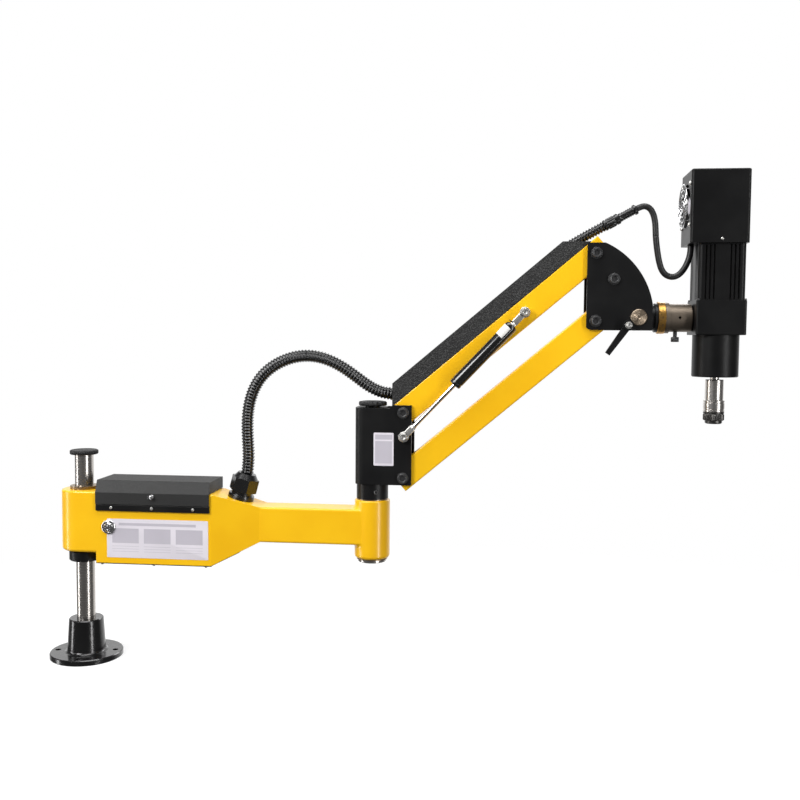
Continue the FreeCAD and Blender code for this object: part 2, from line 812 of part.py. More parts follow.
def make_base_arm():
    """The hollow cast arm: a hub on the column, a box for the drive, and the swing hub."""
    casting = new_body("arm_casting")
    side = outline(new_sketch(casting, "XZ"), [
        (d.box_left, d.box_bottom), (d.box_right, d.box_bottom), (d.taper_end, d.arm_bottom),
        (d.arm_reach, d.arm_bottom), (d.arm_reach, d.arm_top), (d.taper_end, d.arm_top),
        (d.box_right, d.hub_top), (0, d.hub_top), (0, d.hub_bottom), (d.box_left, d.hub_bottom)])
    pad(casting, side, d.box_depth, middle=True)
    far = d.box_depth / 2 + d.cut_overrun
    for sign in (1, -1):
        flank = outline(new_sketch(casting, "XY"), [
            (d.box_right, sign * d.box_depth / 2), (d.taper_end, sign * d.arm_depth / 2),
            (d.arm_reach, sign * d.arm_depth / 2), (d.arm_reach + d.cut_overrun, sign * d.arm_depth / 2),
            (d.arm_reach + d.cut_overrun, sign * far), (d.box_right, sign * far)])
        pocket(casting, flank, (d.hub_top + d.cut_overrun) * 2, middle=True)
    left_hub = ring(new_sketch(casting, "XY", d.hub_bottom), 0, 0, d.hub_diameter / 2)
    pad(casting, left_hub, d.hub_top - d.hub_bottom)
    right_hub = ring(new_sketch(casting, "XY", d.hub_bottom), d.arm_reach, 0, d.swing_hub_diameter / 2)
    pad(casting, right_hub, d.swing_hub_top - d.hub_bottom)
    soften(casting, d.casting_edge, is_long_rail)
    soften(casting, d.arm_root_radius, is_arm_root)
    soften(casting, d.hub_rim_edge, lambda edge: is_arc(edge, d.hub_bottom))
    soften(casting, d.casting_edge * 3 / 4, is_top_rim)
    inner = d.box_depth / 2 - d.box_wall
    start = d.hub_diameter / 2 + d.box_wall
    hollow = block(new_sketch(casting, "XY", d.box_bottom), start, -inner, d.box_right - d.box_wall, inner)
    pocket(casting, hollow, d.hub_top - d.box_bottom - d.box_wall, back=True)
    inset = d.console_opening_inset
    mouth = block(new_sketch(casting, "XY", d.hub_top), start + inset, -(inner - inset / 2),
                  d.box_right - d.box_wall - inset, inner - inset / 2)
    pocket(casting, mouth, d.box_wall + d.cut_overrun)
    for centre, radius, top in (
            (0, BORE_RADIUS + d.bush_wall, d.hub_top),
            (d.arm_reach, d.post_diameter / 2 + d.running_gap + d.bush_wall, d.swing_hub_top)):
        bore = ring(new_sketch(casting, "XY", d.hub_bottom), centre, 0, radius)
        pocket(casting, bore, (top - d.hub_bottom) * 2, middle=True)
    plug = ring(new_sketch(casting, "XZ"), d.button_left, d.button_height, d.bezel_barrel_diameter / 2)
    pocket(casting, plug, d.box_depth / 2 + d.cut_overrun, back=True)
    return casting


def is_arc(edge, height):
    """Whether an edge is a level arc at this height."""
    box = edge.BoundBox
    curved = not isinstance(edge.Curve, (Part.Line, Part.LineSegment))
    return curved and near(box.ZMin, height) and near(box.ZMax, height)


def is_arm_root(edge):
    """Whether an edge lies where the arm meets the swing hub's round side."""
    box = edge.BoundBox
    middle = edge.valueAt((edge.FirstParameter + edge.LastParameter) / 2)
    radius = math.hypot(middle.x - d.arm_reach.value, middle.y)
    low, high = d.arm_bottom.value - d.running_gap.value, d.arm_top.value + d.running_gap.value
    on_side = abs(radius - d.swing_hub_diameter.value / 2) < d.running_gap.value
    return on_side and box.XMax < d.arm_reach.value and box.ZMin > low and box.ZMax < high


def is_top_rim(edge):
    """Whether an edge runs round the top of the box and its hub, or round the swing hub's top."""
    box = edge.BoundBox
    if near(box.ZMin, d.swing_hub_top):
        return is_arc(edge, d.swing_hub_top)
    across = near(box.XMin, d.box_right) and near(box.XMax, d.box_right)
    return near(box.ZMin, d.hub_top) and near(box.ZMax, d.hub_top) and not across


def is_long_rail(edge):
    """Whether an edge of the casting is a long straight run along the arm that a hand meets."""
    if not isinstance(edge.Curve, (Part.Line, Part.LineSegment)):
        return False
    centre = edge.CenterOfMass
    outside = near(abs(centre.y), d.arm_depth / 2)
    level = near(centre.z, d.arm_bottom) or near(centre.z, d.arm_top)
    return outside and level and abs(edge.Curve.Direction.x) > 1 - 1e-6


def make_base_arm_fittings():
    """What the casting carries: bushes, seal, bottom cover, console strip and panel."""
    wall, reach, flange = d.bush_wall, d.bush_flange_reach, d.bush_flange_thickness
    bushes = []
    low, length = d.hub_bottom, d.bush_length
    for centre, bore, top, rim in (
            (0, BORE_RADIUS, d.hub_top, d.seal_height),
            (d.arm_reach, d.post_diameter / 2 + d.running_gap, d.swing_hub_top, flange)):
        outer = bore + wall
        lower = [(bore, low - flange), (outer + reach, low - flange), (outer + reach, low), (outer, low),
                 (outer, low + length), (bore, low + length)]
        upper = [(bore, top - length), (outer, top - length), (outer, top), (outer + reach, top),
                 (outer + reach, top + rim), (bore, top + rim)]
        bushes += [piece("bush", lower, x=centre), piece("bush", upper, x=centre)]
    fuse("hub_bushes", bushes)

    thick = d.cover_plate_thickness
    rise = (d.arm_bottom - d.box_bottom) / (d.taper_end - d.box_right)
    climb = (d.cover_plate_end - d.box_right) * rise
    cover = new_body("bottom_cover")
    section = outline(new_sketch(cover, "XZ"), [
        (d.box_left, d.box_bottom - thick), (d.box_right + thick / 3, d.box_bottom - thick),
        (d.cover_plate_end, d.box_bottom - thick + climb), (d.cover_plate_end, d.box_bottom + climb),
        (d.box_right, d.box_bottom), (d.box_left, d.box_bottom)])
    pad(cover, section, d.arm_depth, middle=True)
    wings = block(new_sketch(cover, "XY", d.box_bottom - thick), d.box_left, -d.box_depth / 2,
                  d.box_right, d.box_depth / 2)
    pad(cover, wings, thick)

    strip = new_body("console_strip")
    strip_bottom = d.lid_skirt_bottom - d.strip_height
    face = block(new_sketch(strip, "XZ", d.box_depth / 2), d.lid_left, strip_bottom,
                 d.lid_right, d.lid_skirt_bottom - d.lid_clearance)
    pad(strip, face, d.strip_thickness)
    bevel(strip, d.column_edge, lambda edge: near(edge.CenterOfMass.y, -d.lid_front))

    radius, height = d.panel_screw_diameter / 2, d.panel_screw_height
    head = [(0, 0), (radius, 0), (radius, height / 2), (radius * 2 / 3, height), (0, height)]
    level = (strip_bottom + d.lid_skirt_bottom) / 2
    span = d.lid_right - d.lid_left
    screws = [piece("panel_screw", head, x=d.lid_left + span * share, y=-d.lid_front, z=level,
                    axis=X_AXIS, angle=RIGHT_ANGLE) for share in STRIP_SCREW_SHARES]
    width = d.box_right - d.box_left
    for share in COVER_SCREW_SHARES:
        for side in (-1, 1):
            screws.append(piece("panel_screw", head, x=d.box_left + width * share,
                                y=side * (d.box_depth / 2 - d.box_wall / 2), z=d.box_bottom - thick,
                                axis=X_AXIS, angle=HALF_TURN))
    fuse("panel_screws", screws)

    panel = new_body("control_panel")
    inner = d.box_depth / 2 - d.box_wall
    left = d.hub_diameter / 2 + d.box_wall + d.panel_edge
    right = d.box_right - d.box_wall - d.panel_edge
    face = block(new_sketch(panel, "XY", d.hub_top), left, -inner, right, inner)
    pad(panel, face, d.panel_thickness)
    soften(panel, d.panel_edge, upright)
    screen = block(new_sketch(panel, "XY", d.hub_top + d.panel_thickness), left + d.screen_inset,
                   -d.screen_depth / 2, left + d.screen_inset + d.screen_length, d.screen_depth / 2)
    pocket(panel, screen, d.screen_recess)

    drive = new_body("servo_drive", x=d.driver_left, z=d.box_bottom)
    pad(drive, block(new_sketch(drive, "XY"), 0, -d.driver_depth / 2, d.driver_length, d.driver_depth / 2),
        d.driver_height)
    slot = block(new_sketch(drive, "XY", d.driver_height), d.driver_fin, -d.driver_depth / 2,
                 d.driver_fin * 2, d.driver_depth / 2)
    slots = pocket(drive, slot, d.driver_height / 4)
    in_line(drive, slots, "X", d.driver_length - d.driver_fin * 3, 12)


def make_power_button():
    """The steel push button and its bezel in the box's front wall."""
    front = d.box_depth / 2
    bore = d.button_diameter / 2 + d.running_gap
    face = front + d.bezel_thickness
    where = dict(x=d.button_left, z=d.button_height, axis=X_AXIS, angle=RIGHT_ANGLE)
    depth = d.bezel_barrel_length / 2
    turned("button_bezel", [
        (0, front - d.bezel_barrel_length), (d.bezel_barrel_diameter / 2, front - d.bezel_barrel_length),
        (d.bezel_barrel_diameter / 2, front), (d.bezel_diameter / 2, front),
        (d.bezel_diameter / 2, face - d.column_edge), (d.bezel_diameter / 2 - d.column_edge, face),
        (bore, face), (bore, front - depth), (0, front - depth)], **where)
    back = front - depth + d.button_travel + d.soft_gap
    turned("power_button", [
        (0, back), (d.button_diameter / 2, back), (d.button_diameter / 2, face + d.button_proud - d.column_edge),
        (d.button_diameter / 2 - d.column_edge, face + d.button_proud), (0, face + d.button_proud)], **where)


def is_fold(edge, height):
    """Whether an edge is a straight fold of the lid, along X at this height."""
    box = edge.BoundBox
    return near(box.ZMin, height) and near(box.ZMax, height) and near(box.XMin, d.lid_left) \
        and near(box.XMax, d.lid_right)


def make_console_lid():
    """The folded lid over the control panel, its pull knob and its rear hinge."""
    wall = d.lid_wall
    floor = d.hub_top + d.lid_clearance
    slope = d.lid_front - d.lid_slope_back
    lid = new_body("lid_shell")
    section = outline(new_sketch(lid, "YZ", d.lid_left), [
        (-d.lid_front, d.lid_skirt_bottom), (-(d.lid_front - wall), d.lid_skirt_bottom),
        (-(d.lid_front - wall), floor), (d.lid_back, floor), (d.lid_back, d.lid_top),
        (-slope, d.lid_top), (-d.lid_front, d.hub_top)])
    pad(lid, section, d.lid_right - d.lid_left)
    soften(lid, wall, lambda edge: is_fold(edge, d.hub_top) or is_fold(edge, d.lid_top))
    hollow = outline(new_sketch(lid, "YZ", d.lid_left + wall), [
        (-(d.lid_front - wall), floor - wall), (d.lid_back - wall, floor - wall),
        (d.lid_back - wall, d.lid_top - wall), (-(slope - wall / 2), d.lid_top - wall),
        (-(d.lid_front - wall), d.hub_top)])
    pocket(lid, hollow, d.lid_right - d.lid_left - wall * 2, back=True)
    axis_y = d.lid_back + d.hinge_offset
    level = floor
    pin, barrel = d.hinge_pin_diameter / 2, d.hinge_barrel_diameter / 2
    pieces = [lid]
    parts.remove(lid)
    for left in (d.lid_left + d.hinge_inset, d.lid_right - d.hinge_inset - d.hinge_length):
        ear = new_body("lid_ear", x=left)
        parts.remove(ear)
        loop = new_sketch(ear, "YZ")
        ring(loop, axis_y, level, barrel)
        pad(ear, loop, d.hinge_length / 2 - d.face_gap)
        web = block(new_sketch(ear, "YZ"), d.lid_back - wall / 2, level + pin, axis_y, level + barrel)
        pad(ear, web, d.hinge_length / 2 - d.face_gap)
        eye = ring(new_sketch(ear, "YZ"), axis_y, level, pin + d.running_gap)
        pocket(ear, eye, d.hinge_length, middle=True)
        pieces.append(ear)
    fuse("console_lid", pieces)

    hinge = []
    for left in (d.lid_left + d.hinge_inset, d.lid_right - d.hinge_inset - d.hinge_length):
        leaf = new_body("hinge_leaf", x=left + d.hinge_length / 2)
        back = d.box_depth / 2
        pad(leaf, block(new_sketch(leaf, "YZ"), back, level - d.hinge_leaf_height, back + wall,
                        level - barrel - d.soft_gap), d.hinge_length / 2)
        pad(leaf, outline(new_sketch(leaf, "YZ"), [
            (back, level - barrel * 2), (back + wall, level - barrel * 2), (axis_y + barrel, level - pin),
            (axis_y, level), (axis_y - barrel, level - pin), (back, level - barrel - d.soft_gap)]),
            d.hinge_length / 2)
        pad(leaf, ring(new_sketch(leaf, "YZ"), axis_y, level, barrel), d.hinge_length / 2)
        rod = new_body("hinge_rod", x=left)
        pad(rod, ring(new_sketch(rod, "YZ"), axis_y, level, pin), d.hinge_length)
        for piece in (leaf, rod):
            parts.remove(piece)
            hinge.append(piece)
    fuse("lid_hinge", hinge)

    radius, length = d.lid_knob_diameter / 2, d.lid_knob_length
    turned("lid_knob", [
        (0, 0), (radius * 2 / 3, 0), (radius * 2 / 3, length / 3), (radius, length / 2),
        (radius, length * 5 / 6), (radius * 2 / 3, length), (0, length)],
        x=d.lid_knob_left, y=-d.lid_front, z=d.hub_top - d.lid_knob_drop, axis=X_AXIS, angle=RIGHT_ANGLE)


def gland_place():
    """Where the gland stands on the slope, and how far it leans."""
    rise, run = casting_slope()
    height = d.hub_top - (d.gland_left - d.box_right) * rise / run
    return height, slope_angle(rise, run)


def gland_exit():
    """The centre of the gland's mouth, and the way the hose leaves it."""
    height, lean = gland_place()
    tall = d.gland_flange_thickness + d.gland_neck_length + d.gland_nut_length + d.gland_dome_length
    way = Vector(sine(lean).value, 0, cosine(lean).value)
    return Vector(d.gland_left.value, 0, height.value) + way * tall.value, way


def make_gland():
    """The gland's flanged body and its domed hexagon nut, square to the sloping top."""
    height, lean = gland_place()
    where = dict(x=d.gland_left, z=height, axis=Y_AXIS, angle=lean)
    bore, neck = d.gland_bore / 2, d.gland_neck_diameter / 2
    flange = d.gland_flange_thickness
    low = flange + d.gland_neck_length
    body = turned("gland_body", [
        (bore, 0), (d.gland_flange_diameter / 2, 0), (d.gland_flange_diameter / 2, flange / 2),
        (d.gland_flange_diameter / 2 - d.column_edge, flange), (neck, flange),
        (neck, low), (bore, low)], **where)
    nut = new_body("gland_nut", **where)
    pad(nut, hexagon(new_sketch(nut, "XY", low), d.gland_nut_flats), d.gland_nut_length)
    dome = d.gland_dome_diameter / 2
    top = low + d.gland_nut_length
    spin(nut, outline(new_sketch(nut, "XZ"), [
        (0, top - d.cut_overrun), (d.gland_nut_flats / 2, top - d.cut_overrun), (d.gland_nut_flats / 2, top),
        (dome, top + d.gland_dome_length), (0, top + d.gland_dome_length)]))
    pocket(nut, ring(new_sketch(nut, "XY", low), 0, 0, bore), d.gland_nut_length * 3, middle=True)
    trim = [(d.gland_nut_flats / 2, low - d.cut_overrun), (neck * 2, low - d.cut_overrun),
            (neck * 2, low + d.cut_overrun), (d.gland_nut_flats / 2, low)]
    groove(nut, outline(new_sketch(nut, "XZ"), trim))
    return body


def make_swing_bracket():
    """The post in the swing hub and the bent bracket that it carries."""
    flange = d.bush_flange_thickness + d.face_gap
    retainer_top = d.hub_bottom - flange
    collar_low = d.swing_hub_top + flange
    radius = d.post_diameter / 2
    edge = d.column_edge
    foot = retainer_top - d.retainer_height
    rim = d.retainer_diameter / 2
    turned("swing_post", [
        (0, foot), (rim - edge, foot), (rim, foot + edge), (rim, retainer_top), (radius, retainer_top),
        (radius, d.bracket_top - d.bracket_cap_thickness), (0, d.bracket_top - d.bracket_cap_thickness)],
        x=d.arm_reach)
    turned("post_collar", [
        (radius, collar_low), (d.post_collar_diameter / 2, collar_low),
        (d.post_collar_diameter / 2, d.bracket_bottom), (d.post_tube_diameter / 2, d.bracket_bottom),
        (d.post_tube_diameter / 2, d.bracket_top - d.bracket_cap_thickness),
        (radius, d.bracket_top - d.bracket_cap_thickness)], x=d.arm_reach)

    half, plate, bend = d.bracket_depth / 2, d.plate_thickness, d.bracket_bend
    back, front = d.bracket_back, d.bracket_front
    channel = new_body("bracket_channel", x=d.arm_reach)
    inner = half - plate
    plan = outline(new_sketch(channel, "XY", d.bracket_bottom), [
        (front, half), (-(back - bend), half, bend), (-back, half - bend), (-back, -(half - bend), bend),
        (-(back - bend), -half), (front, -half), (front, -inner), (-(back - plate), -inner),
        (-(back - plate), inner), (front, inner)])
    step_top = d.bracket_top + d.bracket_step
    pad(channel, plan, step_top - d.bracket_bottom)
    step_left = d.pivot_offset - d.step_inset
    step = outline(new_sketch(channel, "XZ"), [
        (-(back + d.cut_overrun), d.bracket_top), (step_left, d.bracket_top),
        (step_left + d.step_run, step_top), (step_left + d.step_run, step_top + plate),
        (-(back + d.cut_overrun), step_top + plate)])
    pocket(channel, step, d.bracket_depth * 2, middle=True)
    floor = block(new_sketch(channel, "XY", d.bracket_bottom), -(back - plate), -inner,
                  d.post_tube_diameter / 2 + plate / 2, inner)
    pad(channel, floor, plate)
    roof = block(new_sketch(channel, "XY", d.bracket_top - d.bracket_cap_thickness), -(back - plate), -inner,
                 d.post_tube_diameter / 2 + plate / 2, inner)
    pad(channel, roof, d.bracket_cap_thickness)
    bore = ring(new_sketch(channel, "XY", d.bracket_bottom), 0, 0, d.post_tube_diameter / 2)
    pocket(channel, bore, plate * 2, middle=True)
    hole = ring(new_sketch(channel, "XY", d.bracket_top), 0, 0, d.lever_stud_diameter / 2 + d.running_gap)
    pocket(channel, hole, d.bracket_cap_thickness)
    bolts = new_sketch(channel, "XZ")
    for height in (d.upper_pivot_height, d.upper_pivot_height - d.pivot_spacing):
        ring(bolts, d.pivot_offset, height, d.pivot_bolt_diameter / 2)
    pocket(channel, bolts, d.bracket_depth * 2, middle=True)

    spots = [(d.arm_reach + d.pivot_offset, d.upper_pivot_height),
             (d.arm_reach + d.pivot_offset, d.upper_pivot_height - d.pivot_spacing)]
    make_bolts("swing_bolts", spots)


def make_bolts(label, spots):
    """Cap screws through two plates, each with its nut behind."""
    half = d.bracket_depth / 2
    shank, head, nut = d.pivot_bolt_diameter / 2, d.bolt_head_diameter / 2, d.nut_diameter / 2
    top = half + d.bolt_head_height
    bolts = []
    for x, z in spots:
        bolt = piece("cap_screw", [
            (0, -(half + d.nut_height)), (nut, -(half + d.nut_height)), (nut, -half), (shank, -half),
            (shank, half), (head, half), (head, top - d.column_edge), (head - d.column_edge, top), (0, top)],
            x=x, z=z, axis=X_AXIS, angle=RIGHT_ANGLE)
        pocket(bolt, hexagon(new_sketch(bolt, "XY", top), d.bolt_socket_flats), d.bolt_socket_depth)
        bolts.append(bolt)
    fuse(label, bolts)


def make_lock_knob():
    """The fluted knob on top of the bracket that clamps the swing."""
    knob = turned("lock_knob", [
        (0, -d.bracket_cap_thickness), (d.lever_stud_diameter / 2, -d.bracket_cap_thickness),
        (d.lever_stud_diameter / 2, d.face_gap), (d.lock_neck_diameter / 2, d.face_gap),
        (d.lock_neck_diameter / 2, d.lock_neck_height), (d.lock_knob_diameter / 2, d.lock_neck_height),
        (d.lock_knob_diameter / 2, d.lock_neck_height + d.lock_knob_height - d.column_edge),
        (d.lock_knob_diameter / 2 - d.column_edge, d.lock_neck_height + d.lock_knob_height),
        (0, d.lock_neck_height + d.lock_knob_height)], x=d.arm_reach, z=d.bracket_top)
    flute = ring(new_sketch(knob, "XY", d.lock_neck_height), d.lock_knob_diameter / 2 + d.column_edge / 2, 0,
                 d.column_edge * 2)
    cut = pocket(knob, flute, d.lock_knob_height + d.cut_overrun, back=True)
    around(knob, cut, d.lock_knob_flutes.value)


def make_links():
    """The two box links with their bushes, and the cable cover on the upper one."""
    half, depth = d.link_height / 2, d.link_depth / 2
    bush, shank = d.pivot_bush_diameter / 2, d.pivot_bolt_diameter / 2
    for label, height in (("upper_link", d.upper_pivot_height),
                          ("lower_link", d.upper_pivot_height - d.pivot_spacing)):
        where = dict(x=d.arm_reach + d.pivot_offset, z=height, axis=Y_AXIS, angle=-d.link_angle)
        link = new_body(label, **where)
        section = new_sketch(link, "YZ", -d.link_tail)
        block(section, -depth, -half, depth, half)
        block(section, -(depth - d.link_wall), -(half - d.link_wall), depth - d.link_wall, half - d.link_wall)
        pad(link, section, d.link_length + d.link_tail + d.link_nose)
        soften(link, d.link_wall * 5 / 6, is_outer_rail)
        holes = new_sketch(link, "XZ")
        ring(holes, 0, 0, bush)
        ring(holes, d.link_length, 0, bush)
        pocket(link, holes, d.link_depth * 2, middle=True)
        bushes = []
        for spot in (0, d.link_length):
            sleeve = new_body(label + "_bush")
            parts.remove(sleeve)
            tube = new_sketch(sleeve, "XZ")
            ring(tube, spot, 0, bush)
            ring(tube, spot, 0, shank + d.running_gap)
            pad(sleeve, tube, d.bracket_depth - (d.plate_thickness + d.face_gap) * 2, middle=True)
            bushes.append(sleeve)
        fuse(label + "_bushes", bushes, **where)

    wall = d.trunk_wall
    top = half + d.trunk_height
    low_start, low_end = -d.trunk_overhang, d.link_length + d.trunk_past_end
    high_start = low_start + d.trunk_height * tangent(d.link_angle)
    high_end = low_end - d.trunk_height / tangent(d.link_angle)
    trunk = new_body("cable_cover_shell", x=d.arm_reach + d.pivot_offset, z=d.upper_pivot_height,
                     axis=Y_AXIS, angle=-d.link_angle)
    parts.remove(trunk)
    pad(trunk, outline(new_sketch(trunk, "XZ"), [
        (low_start, half), (low_end, half), (high_end, top), (high_start, top)]),
        d.link_depth, middle=True)
    slant = wall * 2
    pocket(trunk, outline(new_sketch(trunk, "XZ"), [
        (low_start + slant, half), (low_end - slant, half),
        (high_end - slant, top - wall), (high_start + slant / 2, top - wall)]),
        d.link_depth - wall * 2, middle=True)
    lean, along, rise = d.link_angle, d.link_length - d.tail_hole_back, d.tail_hole_rise
    drill = plain("Cylinder", Radius=d.tail_diameter / 2 + d.soft_gap, Height=d.trunk_height * 2)
    place(drill, x=d.arm_reach + d.pivot_offset + along * cosine(lean) - rise * sine(lean),
          z=d.upper_pivot_height + along * sine(lean) + rise * cosine(lean),
          axis=Y_AXIS, angle=d.tail_hole_angle)
    bored = doc.addObject("Part::Cut", "cable_cover")
    bored.Label = "cable_cover"
    bored.Base = trunk
    bored.Tool = drill
    parts.append(bored)


def is_outer_rail(edge):
    """Whether an edge of a link is one of its four long outer edges."""
    if not isinstance(edge.Curve, (Part.Line, Part.LineSegment)):
        return False
    centre = edge.CenterOfMass
    return abs(edge.Curve.Direction.x) > 1 - 1e-6 and near(abs(centre.y), d.link_depth / 2)


def spring_ends():
    """The gas spring's lower and upper pins, its angle above the level and its span."""
    foot_x = d.arm_reach + d.pivot_offset + d.spring_foot_offset
    foot_z = d.upper_pivot_height - d.spring_drop
    seat_x = d.arm_reach + d.pivot_offset + d.spring_seat * cosine(d.link_angle)
    seat_z = d.upper_pivot_height + d.spring_seat * sine(d.link_angle)
    run, rise = seat_x - foot_x, seat_z - foot_z
    return foot_x, foot_z, seat_x, seat_z, slope_angle(rise, run), distance(run, rise)


def make_gas_spring():
    """The gas spring's rod and open tube, and the two studs that they turn on."""
    foot_x, foot_z, seat_x, seat_z, lean, span = spring_ends()
    pin, eye = d.spring_pin_diameter / 2, d.spring_eye_diameter / 2
    near_face = d.spring_stand_off - d.spring_eye_width / 2 - d.face_gap
    far_face = d.spring_stand_off + d.spring_eye_width / 2 + d.face_gap
    for label, x, z, root in (("spring_stud_lower", foot_x, foot_z, d.bracket_depth / 2),
                              ("spring_stud_upper", seat_x, seat_z, d.link_depth / 2)):
        turned(label, [
            (0, root), (eye, root), (eye, near_face), (pin, near_face), (pin, far_face),
            (eye * 5 / 6, far_face), (eye * 5 / 6, far_face + d.spring_washer_thickness),
            (0, far_face + d.spring_washer_thickness)],
            x=x, z=z, axis=X_AXIS, angle=RIGHT_ANGLE)

    bore = pin + d.running_gap
    rod_radius = d.rod_diameter / 2
    neck = d.spring_eye_width / 2 - d.spring_neck_inset
    for label, x, z, turn in (("gas_rod", foot_x, foot_z, -lean),
                              ("gas_cylinder", seat_x, seat_z, HALF_TURN - lean)):
        body = new_body(label, x=x, y=-d.spring_stand_off, z=z, axis=Y_AXIS, angle=turn)
        pad(body, ring(new_sketch(body, "XZ"), 0, 0, eye), d.spring_eye_width, middle=True)
        if label == "gas_rod":
            tip = span - d.rod_end_gap
            shaft = [(eye / 2, 0), (eye / 2, neck), (eye * 2, neck), (eye * 2, rod_radius),
                     (tip - d.column_edge, rod_radius),
                     (tip, rod_radius - d.column_edge), (tip, 0)]
        else:
            outer = d.cylinder_diameter / 2
            inner = outer - d.cylinder_wall
            start = d.cylinder_neck + eye
            end = start + d.cylinder_length
            shaft = [(eye / 2, 0), (eye / 2, neck), (start, neck), (start, outer - d.column_edge),
                     (start + d.column_edge, outer), (end - d.column_edge, outer),
                     (end, outer - d.column_edge), (end, inner),
                     (start + d.cylinder_wall * 3, inner), (start + d.cylinder_wall * 3, 0)]
        spin(body, outline(new_sketch(body, "XZ"), shaft), "H_Axis")
        pocket(body, ring(new_sketch(body, "XZ"), 0, 0, bore), d.spring_eye_width * 3, middle=True)


def make_head_bracket():
    """Two plates joined by bolts and a spacer, with the pin that the head tilts on."""
    x, z = d.far_pivot_x, d.far_pivot_z
    left, low = -d.head_plate_left, -d.head_plate_bottom
    top = d.pivot_spacing + d.head_plate_top
    inner = d.bracket_depth / 2 - d.plate_thickness
    corner = d.head_plate_corner
    for label, lift in (("head_plate_front", inner), ("head_plate_rear", -(d.bracket_depth / 2))):
        plate = new_body(label, x=x, z=z)
        face = outline(new_sketch(plate, "XZ", lift), [
            (left + corner, low), (d.head_plate_right, low),
            (d.head_plate_right, d.head_plate_shoulder, d.head_plate_arc), (d.head_plate_flat, top),
            (left, top), (left, low + corner, corner)])
        pad(plate, face, d.plate_thickness)
        holes = new_sketch(plate, "XZ")
        spots = ((0, 0), (0, d.pivot_spacing), (d.spacer_right, d.pivot_spacing - d.spacer_drop))
        for spot_x, spot_z in spots:
            ring(holes, spot_x, spot_z, d.pivot_bolt_diameter / 2)
        ring(holes, d.tilt_pin_right, d.tilt_pin_rise, d.tilt_pin_diameter / 2 + d.running_gap)
        if label == "head_plate_front":
            ring(holes, d.tilt_pin_right - d.lever_left, d.tilt_pin_rise - d.lever_drop,
                 d.lever_stud_diameter / 2 + d.running_gap)
        pocket(plate, holes, d.bracket_depth * 2, middle=True)

    spacer = new_body("bracket_spacer", x=x + d.spacer_right, z=z + d.pivot_spacing - d.spacer_drop)
    tube = new_sketch(spacer, "XZ")
    ring(tube, 0, 0, d.spacer_diameter / 2)
    ring(tube, 0, 0, d.pivot_bolt_diameter / 2)
    pad(spacer, tube, inner * 2, middle=True)
    make_bolts("head_bolts", [(x, z), (x, z + d.pivot_spacing),
                              (x + d.spacer_right, z + d.pivot_spacing - d.spacer_drop)])


def make_knuckle():
    """The knuckle on its steel pin, with the roll shaft and the graduated ring."""
    x, z = d.tilt_x, d.tilt_z
    inner = d.bracket_depth / 2 - d.plate_thickness - d.face_gap
    pin = d.tilt_pin_diameter / 2
    reach = d.bracket_depth / 2 + d.tilt_pin_proud
    turned("tilt_pin", [
        (0, -reach), (pin - d.tilt_pin_edge, -reach), (pin, -(reach - d.tilt_pin_edge)),
        (pin, reach - d.tilt_pin_edge), (pin - d.tilt_pin_edge, reach), (0, reach)],
        x=x, z=z, axis=X_AXIS, angle=RIGHT_ANGLE)
    knuckle = new_body("tilt_knuckle", x=x, z=z)
    pad(knuckle, ring(new_sketch(knuckle, "XZ"), 0, 0, d.knuckle_diameter / 2), inner * 2, middle=True)
    barrel = d.knuckle_diameter / 2
    shaft = d.roll_shaft_diameter / 2
    shaft_end = d.sleeve_start + d.roll_shaft_diameter
    spin(knuckle, outline(new_sketch(knuckle, "XZ"), [
        (0, 0), (0, barrel), (d.ring_distance - d.knuckle_flange_thickness, barrel),
        (d.ring_distance - d.knuckle_flange_thickness, d.knuckle_flange_diameter / 2),
        (d.ring_distance, d.knuckle_flange_diameter / 2), (d.ring_distance, shaft),
        (shaft_end - d.column_edge, shaft), (shaft_end, shaft - d.column_edge), (shaft_end, 0)]), "H_Axis")
    pocket(knuckle, ring(new_sketch(knuckle, "XZ"), 0, 0, pin), d.bracket_depth * 2, middle=True)
    outer = d.ring_diameter / 2
    side = dict(x=x, z=z, axis=Y_AXIS, angle=RIGHT_ANGLE)
    turned("angle_ring", tube_profile(shaft, outer, d.ring_distance, d.ring_distance + d.ring_width,
                                      d.column_edge), **side)

    start = d.ring_distance + d.ring_width + d.face_gap
    neck = d.sleeve_start
    end = neck + d.sleeve_length
    flange, body = d.ring_diameter / 2 - d.column_edge, d.sleeve_diameter / 2
    bore = shaft + d.running_gap
    sleeve = turned("head_sleeve", [
        (bore, start), (flange, start), (flange, neck), (body, neck), (body, end - d.sleeve_edge),
        (body - d.sleeve_edge, end), (0, end), (0, shaft_end + d.soft_gap), (bore, shaft_end + d.soft_gap)],
        **side)
    thread = ring(new_sketch(sleeve, "YZ"), 0, neck + d.thumb_offset,
                  d.thumb_stem_diameter / 2 + d.running_gap)
    pocket(sleeve, thread, d.sleeve_diameter, back=True)
    tapped = ring(new_sketch(sleeve, "XZ"), 0, neck + d.sleeve_hole_along, d.sleeve_hole_diameter / 2)
    pocket(sleeve, tapped, d.sleeve_diameter, back=True)
    stem, head = d.thumb_stem_diameter / 2, d.thumb_head_diameter / 2
    drop = body + d.thumb_stem_length
    turned("thumb_screw", [
        (0, -(shaft + d.soft_gap)), (stem, -(shaft + d.soft_gap)), (stem, -drop), (head, -drop),
        (head, -(drop + d.thumb_head_height - d.column_edge)),
        (head - d.column_edge, -(drop + d.thumb_head_height)), (0, -(drop + d.thumb_head_height))],
        x=x + neck + d.thumb_offset, z=z)


